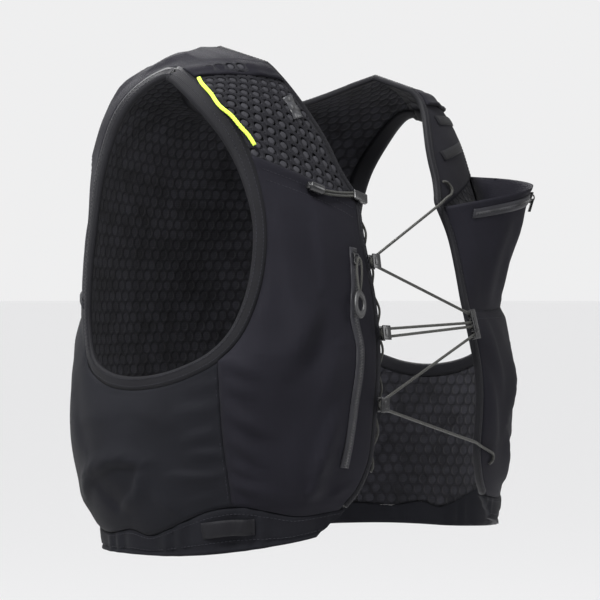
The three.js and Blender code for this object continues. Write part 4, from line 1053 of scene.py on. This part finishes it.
def yoke_lift(spots, along, across):
    swell = 6 * MM * smoothstep(np.abs(spots[..., 0]), 120, 160) * hump(spots[..., 1], 0.44, 0.96)
    at_flap = smoothstep(along, 0.9, 0.96)
    lip = (2.3 + 1.0 * np.sin(across * 9 + 0.4) + 0.5 * np.sin(across * 21)) * MM * at_flap
    lip = lip * (0.25 + 0.75 * hump(across, -0.04, 1.04) ** 0.5)
    middle = np.abs(np.abs(spots[..., 0]) - 180) > 1
    soft = smoothstep(along, 0, 0.05) * smoothstep(across, 0, 0.08)
    soft = soft * np.where(middle, smoothstep(1 - across, 0, 0.08), 1)
    return COVER + swell + lip + fold_lift(spots) * soft


layers = []
for grid in sides(yoke_grid):
    along, across_share = shares(grid)
    base = yoke_lift(grid, along, across_share)
    layers.append((grid, base, base + WALL + rolled(1 - along, across_share, 0.012)))
yoke = cloth("yoke_cloth", layers, "stretch_cloth", ["back_cover"], True)
print("covers", [len(piece.data.polygons) for piece in (front_pocket, back_pocket, yoke)])

# %% [markdown]
# ## Net pocket
# The strap pocket is an open net: rows of round holes, each in its own cell, every second row
# shifted by half a cell. The cells share their border points, so the net is one sheet.

# %% Net pocket
HOLE_STEPS = 16


def pads_in_holes(spot, lift, centres, hole):
    """The mesh's raised cells show in the holes: a low dome for each."""
    verts, faces, uvs = [], [], []
    middle = spot(centres[:, 0], centres[:, 1])
    top = lift(centres[:, 0], centres[:, 1]) + 0.2 * MM
    by_turn, by_level, normals = slopes(middle)
    turn_way = by_turn / np.linalg.norm(by_turn, axis=1, keepdims=True)
    up_way = np.cross(normals, turn_way)
    angles = np.arange(12) * math.pi / 6
    for place, height, normal, aside, up in zip(form(middle), top, normals, turn_way, up_way):
        start = len(verts)
        for reach, level in ((1.0, 2.1 * MM), (0.98, height - 0.1 * MM), (0.72, height + 0.35 * MM),
                             (0.35, height + 0.5 * MM)):
            for angle in angles:
                offset = (aside * math.cos(angle) + up * math.sin(angle)) * reach * 0.47 * hole
                verts.append(place + offset + normal * level)
                uvs.append((offset[0], offset[2]))
        for row in range(3):
            for k in range(12):
                a, b = start + 12 * row, start + 12 * (row + 1)
                faces.append([a + k, a + (k + 1) % 12, b + (k + 1) % 12, b + k])
        faces.append([start + k for k in range(12)][::-1])
        faces.append([start + 36 + k for k in range(12)])
    return finish_piece("mesh_pads", verts, faces, uvs, "pad_knit")


def net_sheet(name, grid, lift, pitch, hole, replaces):
    rows, columns = grid.shape[:2]
    middle = form(grid[:, columns // 2])
    length = np.linalg.norm(np.diff(middle, axis=0), axis=1).sum()
    wide = np.linalg.norm(np.diff(form(grid[rows // 3]), axis=0), axis=1).sum()
    down = int(round(length / (pitch * 0.87)))
    wide_count = int(round(wide / pitch))

    def spot(along, across):
        r, c = np.clip(along, 0, 1) * (rows - 1), np.clip(across, 0, 1) * (columns - 1)
        i, j = np.minimum(r.astype(int), rows - 2), np.minimum(c.astype(int), columns - 2)
        a, b = (r - i)[..., None], (c - j)[..., None]
        low = grid[i, j] * (1 - b) + grid[i, j + 1] * b
        high = grid[i + 1, j] * (1 - b) + grid[i + 1, j + 1] * b
        return low * (1 - a) + high * a

    places, quads, laid, centres = {}, [], [], []

    def vertex(along, across):
        key = (round(along * 4096), round(across * 4096))
        if key not in places:
            places[key] = len(laid)
            laid.append((along, across))
        return places[key]

    angles = np.arange(HOLE_STEPS) * 2 * math.pi / HOLE_STEPS
    tall, broad = 1 / down, 1 / wide_count
    for row in range(down):
        shift = 0.5 if row % 2 else 0.0
        for column in range(-1, wide_count + 1):
            left = (column + shift) * broad
            right = left + broad
            cut_left, cut_right = max(left, 0.0), min(right, 1.0)
            if cut_right - cut_left < 1e-6:
                continue
            whole = cut_right - cut_left > broad * 0.99
            a0, a1 = row * tall, (row + 1) * tall
            if not whole:
                corners = [(a0, cut_left), (a0, cut_right), (a1, cut_right), (a1, cut_left)]
                quads.append([vertex(*corner) for corner in corners])
                continue
            outer, inner = [], []
            for angle in angles:
                x, y = math.cos(angle), math.sin(angle)
                reach = 1 / max(abs(x), abs(y))
                outer.append((a0 + tall * (0.5 + y * reach / 2), left + broad * (0.5 + x * reach / 2)))
                inner.append((a0 + tall * (0.5 + y * hole / pitch / 1.74),
                              left + broad * (0.5 + x * hole / pitch / 2)))
            ring_out = [vertex(*place) for place in outer]
            ring_in = [vertex(*place) for place in inner]
            for k in range(HOLE_STEPS):
                beyond = (k + 1) % HOLE_STEPS
                quads.append([ring_out[k], ring_out[beyond], ring_in[beyond], ring_in[k]])
            centres.append((a0 + tall / 2, left + broad / 2))
    pads_in_holes(spot, lift, np.array(centres), hole)
    laid = np.array(laid)
    spots = spot(laid[:, 0], laid[:, 1])
    under = lift(laid[:, 0], laid[:, 1])
    below, above = lifted(spots, under), lifted(spots, under + WALL)
    if spots[0, 0] > 0:
        quads = [quad[::-1] for quad in quads]
    count = len(laid)
    used = {(a, b) for quad in quads for a, b in zip(quad, quad[1:] + quad[:1])}
    walls = [[a, b, b + count, a + count] for a, b in used if (b, a) not in used]
    faces = [[i + count for i in quad] for quad in quads] + [quad[::-1] for quad in quads] + walls
    uvs = np.tile(metres(spots), (2, 1))
    return finish_piece(name, list(below) + list(above), faces, uvs, "open_net", replaces)


def strap_lift(along, across):
    return COVER + 3 * MM * hump(across) ** 0.6 * along**1.5


net = net_sheet("strap_net_right", mirror(strap_grid), strap_lift, 9.8 * MM, 6.9 * MM,
                ["strap_pocket_right"])
net_tree = tree_of(net)
print("net faces", len(net.data.polygons))

# %% [markdown]
# ## Bindings and hem band
# Each edge is wrapped in a folded tape with a round lip. The hem band is wider and lies in gathers.

# %% Bindings and hem band
def tape(lip):
    """The tape's outline; its two lips reach past the cloth's edge by a share of the width."""
    return [(0.98, 3.2), (1 + lip, 3.65), (1 + lip, 3.8), (0.8, 4.0), (0.5, 4.0), (0.2, 3.8), (0.06, 3.2),
            (0.0, 2.4), (-0.03, 1.4), (0.0, 0.4), (0.06, -0.4), (0.2, -0.9), (0.5, -1.05), (0.8, -1.0),
            (1 + lip, -0.7), (1 + lip, -0.35), (0.98, -0.15), (0.97, 1.5)]



for side, word in names.items():
    # towards the shoulder the tape is wider, on the arm's side
    row = np.arange(len(arm_edge)) / STEPS
    wider = 5 * MM * (hump(row, -1.5, 5) ** 1.5 + 0.9 * hump(row, 14, 20.5) ** 1.2)[:, None]
    edge = one(beside(arm_edge, -wider, True), side)
    width = (ARM_BAND + wider) * side
    band(f"armhole_tape_{word}", edge, width, tape(0.09), "binding", True, [f"armhole_binding_{word}"])
    line = one(bound_edge, side)
    band(f"edge_tape_{word}", line, EDGE_BAND * side, tape(0.2), "binding", False, [f"edge_binding_{word}"])

corner_turn = bound_edge[0, 0]
hem_turns = np.concatenate([[corner_turn], np.linspace(corner_turn + 0.5, 180, 260)])
HEM_SHARES = np.linspace(0, 1, 13)


def hem_spots():
    level = HEM_SHARES[None, :] * hem_level(hem_turns)[:, None]
    corner = read(front_edge, "level", HEM_SHARES * hem_level(corner_turn), "turn")
    beyond = np.clip((hem_turns - corner_turn) / (FORE_TURN - corner_turn), 0, 1)[:, None]
    turn = hem_turns[:, None] + (1 - beyond) * (corner - corner_turn)[None, :]
    return np.stack([turn, level], axis=-1)


hem_grid = hem_spots()
turn, level = hem_grid[..., 0], hem_grid[..., 1]
share = np.broadcast_to(HEM_SHARES, turn.shape)
gather = 0.9 * MM * np.sin(turn * 0.9 + 2.2 * np.sin(turn * 0.31)) * hump(share, -0.2, 1.1)
roll = 0.8 * MM * np.exp(-(((share - 0.0) / 0.12) ** 2))
crease = -0.7 * MM * np.exp(-(((share - 0.16) / 0.06) ** 2))
outer = 3.5 * MM + gather + roll + crease - 0.9 * MM * smoothstep(share, 0.93, 1.0)
inner = np.full(turn.shape, -1.0 * MM) + 0.6 * gather
hem = cloth("hem_band_cloth", [(grid, inner, outer) for grid in sides(hem_grid)], "pocket_cloth",
            ["hem_band"])
hem_tree = tree_of(hem)
print("bindings and hem done")

# %% [markdown]
# ## Cords
# The lace runs from the left edge round three hooks and the rail's two posts and back. The edge
# cord, the lime cord and the drawcord lie on the right side.

# %% Cords
LACE, EDGE_CORD, LIME, DRAWCORD = 2.2 * MM, 1.8 * MM, 3 * MM, 2 * MM
BINDING_TOP = 4.0 * MM
CLIP_LIFT = 4.3 * MM
PLATE, POST = 1.2 * MM, 3 * MM
ROOM = LACE + 0.9 * MM
HOOK_OUT = 1.5 * MM


def edge_spot(side, level, out):
    line = beside(on_front_edge([level - 0.004, level, level + 0.004]), -out)
    return line[1] * np.array([side, 1])


hook_frames = [frame_from(edge_spot(-1, level, HOOK_OUT), CLIP_LIFT) for level in (0.508, 0.385, 0.268)]
rail_frame = frame_from(edge_spot(1, 0.395, HOOK_OUT), CLIP_LIFT)
rail_posts = [4.5 * MM, -4.5 * MM]


def around(frame_matrix, y, outward, start, end):
    radius = (POST + ROOM) / 2
    height = PLATE + ROOM / 2
    out = []
    for angle in np.radians(np.linspace(start, end, 15)):
        place = Vector((outward * radius * math.cos(angle), y + radius * math.sin(angle), height))
        out.append(frame_matrix @ place)
    return out


def on_piece(tree, line, lift, least=0.0):
    return list(lifted(line, lifts_on(tree, line, least) + lift))


upper_anchor = smooth_line([(35, 0.676), (37.5, 0.672), (38.5, 0.66), (36.5, 0.648), (32, 0.64),
                            (25, 0.626)], 24)
lower_anchor = smooth_line([(24, 0.192), (28, 0.182), (31.5, 0.173), (34.5, 0.163), (35, 0.15),
                            (33.5, 0.142)], 24)
lace_points = (
    on_piece(strap_tree, upper_anchor, 0.6 * MM + LACE / 2, BINDING_TOP)
    + around(hook_frames[0], 0, -1, 70, -75)
    + around(rail_frame, rail_posts[0], 1, 65, -85)
    + around(hook_frames[1], 0, -1, 85, -85)
    + around(rail_frame, rail_posts[1], 1, 85, -65)
    + around(hook_frames[2], 0, -1, 75, -70)
    + on_piece(lower_tree, lower_anchor, 0.6 * MM + LACE / 2, BINDING_TOP)
)
tube("lace", resample(lace_points, 1.2 * MM), LACE, "grey_cord", 12, ["lacing_cord"])

levels = np.linspace(0.145, 0.615, 160)
edge_line = on_front_edge(levels)
weaving = 1.5 * MM * np.sin(levels * 92)
edge_cord = [beside(edge_line, -(1.5 * MM + 0.35 * MM + w))[k] for k, w in enumerate(weaving)]
edge_cord = mirror(np.array(edge_cord))
tube("edge_cord", lifted(edge_cord, EDGE_CORD / 2 + 0.5 * weaving), EDGE_CORD, "grey_cord", 10,
     ["edge_cord_right"])

lime_rows = [(80, 0.815), (76.5, 0.79), (73, 0.765), (69.5, 0.745), (66.5, 0.725), (63.5, 0.7)]
lime_line = mirror(smooth_line(lime_rows, 60))
wobble = 0.35 * MM * np.sin(np.linspace(0, 19, 61))
lime_line = np.array([beside(lime_line, w)[k] for k, w in enumerate(wobble)])
lime_lift = np.convolve(np.pad(lifts_on(net_tree, lime_line, COVER + 2.5 * MM), 6, mode="edge"),
                        np.ones(13) / 13, "valid")
lime_points = lifted(lime_line, lime_lift + LIME / 2 - 0.3 * MM)
tube("lime_cord", lime_points, LIME, "lime_cord", 14, ["lime_cord_right"])

lock_spot = np.array([-46, 0.628])
lock_frame = frame_from(lock_spot, 0.6 * MM + 4 * MM, front_tree, 80)
clip_frame = frame_from(edge_spot(-1, 0.628, -HOOK_OUT), CLIP_LIFT, None, 80)
for index, side in enumerate((-1, 1)):
    aside = side * 1.3 * MM
    start = lock_frame @ Vector((aside, -6.6 * MM, 0))
    end = clip_frame @ Vector((aside, 6.8 * MM, 1.8 * MM))
    t = np.linspace(0, 1, 24)[:, None]
    line = np.array(start) * (1 - t) + np.array(end) * t
    line[:, 2] -= 0.8 * MM * np.sin(np.pi * t[:, 0])
    tube(f"drawcord_{index + 1}", line, DRAWCORD, "grey_cord", 10, [f"drawcord_right_{index + 1}"])
print("cords done")

# %% [markdown]
# ## Zips
# A zip is a woven tape with two rows of small teeth. The sliders, the pull cord and the ring grip
# are modelled from plain primitives.

# %% Zips
def zip_strip(name, tree, line, width, replaces):
    offsets = np.array([-0.5, -0.44, -0.36, -0.2, 0.2, 0.36, 0.44, 0.5]) * width
    heights = np.array([0.3, 0.75, 1.15, 1.3, 1.3, 1.15, 0.75, 0.3]) * MM
    spots = np.stack([beside(line, offset) for offset in offsets], axis=1)
    base = np.array([[face_at(tree, spot)[2] for spot in row] for row in spots])
    kernel = np.ones(5) / 5
    base = np.stack([np.convolve(np.pad(base[:, k], 2, mode="edge"), kernel, "valid")
                     for k in range(len(offsets))], axis=1)
    base = base + 0.25 * MM
    strip = cloth(name, [(spots, base, base + heights)], "zip_weave", replaces)
    middle = lifted(line, base[:, 3:5].mean(axis=1) + 1.4 * MM)
    normals = slopes(line)[2]
    run = np.concatenate([[0], np.cumsum(np.linalg.norm(np.diff(middle, axis=0), axis=1))])
    verts, faces, uvs = [], [], []
    for number, at in enumerate(np.arange(1 * MM, run[-1] - 1 * MM, 1.1 * MM)):
        centre, ahead, normal = (
            np.array([np.interp(x, run, values[:, k]) for k in range(3)])
            for x, values in ((at, middle), (at + 0.5 * MM, middle), (at, normals))
        )
        heading = (ahead - centre) / max(np.linalg.norm(ahead - centre), 1e-9)
        side = np.cross(heading, normal)
        side /= np.linalg.norm(side)
        centre = centre + side * (0.45 * MM if number % 2 else -0.45 * MM)
        start = len(verts)
        for w in (-1, 1):
            for x, z in ((-0.36, -0.4), (0.36, -0.4), (0.36, 0.15), (0.0, 0.42), (-0.36, 0.15)):
                verts.append(centre + side * w * 0.95 * MM + heading * x * MM + normal * z * MM)
                uvs.append((at, z * MM))
        faces += [[start + k, start + (k + 1) % 5, start + 5 + (k + 1) % 5, start + 5 + k] for k in range(5)]
        faces += [[start + k for k in range(5)][::-1], [start + 5 + k for k in range(5)]]
    finish_piece(f"{name}_teeth", verts, faces, uvs, "zip_coil", (), False)
    return strip


zip_rows = [(33.5, 0.53), (34, 0.47), (35, 0.413), (33.5, 0.36), (34, 0.32), (35.5, 0.27), (37, 0.2),
            (38, 0.16)]
zip_line = mirror(smooth_line(zip_rows, 90))
side_zip = zip_strip("side_zip", front_tree, zip_line, 8 * MM, ["side_zip_right"])
side_zip_tree = tree_of(side_zip)
rim, below_rim = chest_grid[-1], chest_grid[-1 - 2 * STEPS // 3]
chest_line = (0.55 * rim + 0.45 * below_rim)[4:-4]
chest_zip = zip_strip("chest_zip", chest_tree, chest_line, 6 * MM, ["chest_zip_left"])
chest_zip_tree = tree_of(chest_zip)
print("zips done")

# %% [markdown]
# ## Fittings
# Each fitting starts from a primitive at the origin and is then laid on the cloth by a matrix that goes into
# its mesh; the slider's body is shaped in edit mode.

# %% Fittings
def primitive(kind, scale, place=(0, 0, 0), turned=(0, 0, 0), **extra):
    getattr(bpy.ops.mesh, f"primitive_{kind}_add")(location=place, rotation=turned, **extra)
    made = bpy.context.object
    made.scale = scale
    bpy.ops.object.transform_apply(location=True, rotation=True, scale=True)
    return made


def softened(piece, width, segments=3):
    bevel = piece.modifiers.new("bevel", "BEVEL")
    bevel.width = width
    bevel.segments = segments
    bevel.limit_method = "ANGLE"
    bpy.context.view_layer.objects.active = piece
    bpy.ops.object.modifier_apply(modifier="bevel")
    return piece


def fused(pieces, name):
    bpy.ops.object.select_all(action="DESELECT")
    for piece in pieces:
        piece.select_set(True)
    bpy.context.view_layer.objects.active = pieces[0]
    bpy.ops.object.join()
    made = bpy.context.object
    made.name = name
    bpy.ops.object.shade_smooth_by_angle(angle=math.radians(40))
    return made


def laid(piece, matrix, material, replaces=()):
    piece.data.transform(matrix)
    piece.data.materials.clear()
    piece.data.materials.append(materials[material])
    for layer in piece.data.uv_layers:
        layer.name = "metres"
    settle(piece, replaces)
    return piece


def cord_clip(name, width, height, posts, outward):
    """A base plate, a post for each turn of the cord, and a rounded cap over it."""
    base_width = (width + POST) / 2
    middle = outward * (width - base_width) / 2
    base = softened(primitive("cube", (base_width, height, PLATE), (middle, 0, PLATE / 2), size=1), 0.4 * MM)
    top = PLATE + ROOM
    cap = softened(primitive("cube", (width, height, PLATE), (0, 0, top + PLATE / 2), size=1), 0.5 * MM, 4)
    pieces = [base, cap]
    for y in posts:
        pin = primitive("cylinder", (1, 1, 1), (0, y, PLATE + ROOM / 2), radius=POST / 2,
                        depth=ROOM + PLATE, vertices=20)
        pieces.append(pin)
    ridge = softened(primitive("cube", (width * 0.5, height * 0.55, 0.7 * MM),
                               (0, 0, top + PLATE + 0.2 * MM), size=1), 0.3 * MM)
    pieces.append(ridge)
    return fused(pieces, name)


for index, matrix in enumerate(hook_frames):
    hook = cord_clip(f"hook_{index + 1}", 8 * MM, 11 * MM, [0], -1)
    laid(hook, matrix, "plastic", [f"cord_hook_{index + 1}"])
rail = cord_clip("rail", 7 * MM, 23 * MM, rail_posts, 1)
laid(rail, rail_frame, "plastic", ["slider_rail"])


def zip_slider(name, tab):
    """A waisted body, a bail over it and, on the chest zip, a flat tab."""
    body = primitive("cube", (6 * MM, 9 * MM, 1.6 * MM), (0, 0, 0.8 * MM), size=1)
    bpy.ops.object.mode_set(mode="EDIT")
    bpy.ops.mesh.select_all(action="SELECT")
    bpy.ops.mesh.subdivide(number_cuts=3)
    bpy.ops.object.mode_set(mode="OBJECT")
    for vertex in body.data.vertices:
        vertex.co.x *= 0.72 + 0.28 * abs(vertex.co.y) / (4.5 * MM)
    softened(body, 0.35 * MM)
    bail = primitive("torus", (1, 1.25, 1), (0, 0, 1.9 * MM), (0, math.pi / 2, 0), major_radius=2.2 * MM,
                     minor_radius=0.55 * MM, major_segments=24, minor_segments=8)
    pieces = [body, bail]
    if tab:
        pieces.append(softened(primitive("cube", (5 * MM, tab, 1.2 * MM), (0, -tab / 2, 3.2 * MM),
                                         size=1), 0.5 * MM))
    return fused(pieces, name)


slider_matrix = frame_from(zip_line[5], 0.5 * MM, side_zip_tree)
laid(zip_slider("side_slider", 0), slider_matrix, "plastic", ["zip_slider_right"])
chest_matrix = frame_from(chest_line[len(chest_line) // 6], 0.5 * MM, chest_zip_tree)
laid(zip_slider("chest_slider", 11 * MM), chest_matrix, "plastic", ["chest_slider_left"])

pull_matrix = frame_from(zip_line[5], 4.6 * MM, side_zip_tree, -8)
angles = np.linspace(0, 2 * np.pi, 61)[:-1]
loop = np.stack([2.5 * MM * np.sin(angles), -13 * MM + 13 * MM * np.cos(angles),
                 0.4 * MM * np.sin(2 * angles)], axis=-1)
loop = [pull_matrix @ Vector(point) for point in loop]
tube("pull_cord", loop, 1.6 * MM, "grey_cord", 10, ["zip_pull_right"], True)
ring = primitive("torus", (1, 1.85, 1), (0, -36.5 * MM, 0), major_radius=4.4 * MM, minor_radius=1.6 * MM,
                 major_segments=40, minor_segments=14)
ring.name = "ring_grip"
ring.data.shade_smooth()
laid(ring, pull_matrix, "soft_rubber")
print("sliders and pull done")

lock_body = softened(primitive("cylinder", (1, 1, 1), (0, 0, 0), (math.pi / 2, 0, 0), radius=4 * MM,
                               depth=12 * MM, vertices=32), 1.2 * MM, 4)
button = softened(primitive("cylinder", (1, 1, 1), (0, 6.8 * MM, 0), (math.pi / 2, 0, 0), radius=2.9 * MM,
                            depth=2.4 * MM, vertices=28), 0.6 * MM, 3)
lock_body.data.shade_smooth()
laid(fused([lock_body, button], "cord_lock"), lock_frame, "plastic", ["cord_lock_right"])
end_clip = softened(primitive("cube", (8 * MM, 13 * MM, 3.6 * MM), (0, 0, 1.8 * MM), size=1), 1.1 * MM, 4)
laid(fused([end_clip], "end_clip"), clip_frame, "plastic", ["drawcord_clip_right"])

# %% [markdown]
# ## Tapes, tabs and stitches
# Short webbing pieces are sewn on, and rows of stitches run along every band and seam.

# %% Tapes and tabs
def webbing(name, tree, line, width, wall, material, replaces, stand=0.0, float_gap=0.3 * MM):
    offsets = np.linspace(-0.5, 0.5, 7) * width
    spots = np.stack([beside(line, offset) for offset in offsets], axis=1)
    base = np.array([[face_at(tree, spot)[2] for spot in row] for row in spots])
    kernel = np.ones(3) / 3
    base = np.stack([np.convolve(np.pad(base[:, k], 1, mode="edge"), kernel, "valid")
                     for k in range(7)], axis=1)
    middle = hump(np.linspace(0, 1, len(line)), 0.06, 0.94) ** 0.7
    base = base + float_gap + stand * middle[:, None]
    rounded = np.array([0.35, 0.85, 1, 1, 1, 0.85, 0.35]) * wall
    return cloth(name, [(spots, base, base + rounded)], material, replaces)


for side, word in names.items():
    half_turn = math.degrees(44 * MM / HALF_WIDTH) / 2.3
    line = smooth_line([(67 - half_turn, 0.046), (67, 0.05), (67 + half_turn, 0.046)], 48)
    webbing(f"pole_tape_{word}", hem_tree, one(line, side), 12 * MM, 1 * MM, "binding",
            [f"pole_loop_{word}"], 3 * MM)
tab_line = mirror(smooth_line([(55.5, 0.82), (53, 0.797), (51, 0.775)], 16))
webbing("neck_tab", net_tree, tab_line, 9 * MM, 1 * MM, "shiny_trim", ["neck_tab_right"], 0, 0.5 * MM)
for index, row in enumerate((1.5, 2.5)):
    line = strap_grid[arm_row(row) - MOUTH][6:-6:2]
    webbing(f"strap_tape_{index + 1}", strap_tree, line, 8 * MM, 1 * MM, "binding",
            [f"strap_bar_left_{index + 1}"])

# %% Stitches
lines = []
for side in (-1, 1):
    for share in (0.22, 0.78):
        ring = arm_edge * (1 - share) + arm_seam * share
        ring = one(np.concatenate([ring, ring[:1]]), side)
        lines.append(seam_points(ring, 4.0 * MM))
stitches("armhole_stitches", lines)
lines = []
for side in (-1, 1):
    line = one(bound_edge * 0.35 + bound_seam * 0.65, side)
    lines.append(seam_points(line, 4.05 * MM))
stitches("edge_stitches", lines)


def stitch_on(piece_tree, line):
    lift = lifts_on(piece_tree, line)
    smooth = np.convolve(np.pad(lift, 2, mode="edge"), np.ones(5) / 5, "valid")
    return seam_points(line, smooth + 0.05 * MM)


lines = []
for side in (-1, 1):
    for column in (3, 10):
        lines.append(stitch_on(hem_tree, one(hem_grid[2:, column], side)))
    seam = one(gathered(front_outer[: SEAM_ROWS + 1], GAP), side)
    own = front_tree if side < 0 else lower_tree
    lines.append(stitch_on(own, beside(seam, side * 2.2 * MM)[2:-3]))
    lines.append(stitch_on(pocket_tree, beside(seam, -side * 2.2 * MM)[2:-3]))
lines.append(stitch_on(front_tree, mirror(front_grid[MOUTH - 3, 2:-2])))
lines.append(stitch_on(front_tree, mirror(front_grid[MOUTH - 6, 2:-2])))
lines.append(stitch_on(lower_tree, front_grid[CHEST - 3, 2:-2]))
stitches("seam_stitches", lines)
print("stitches done")
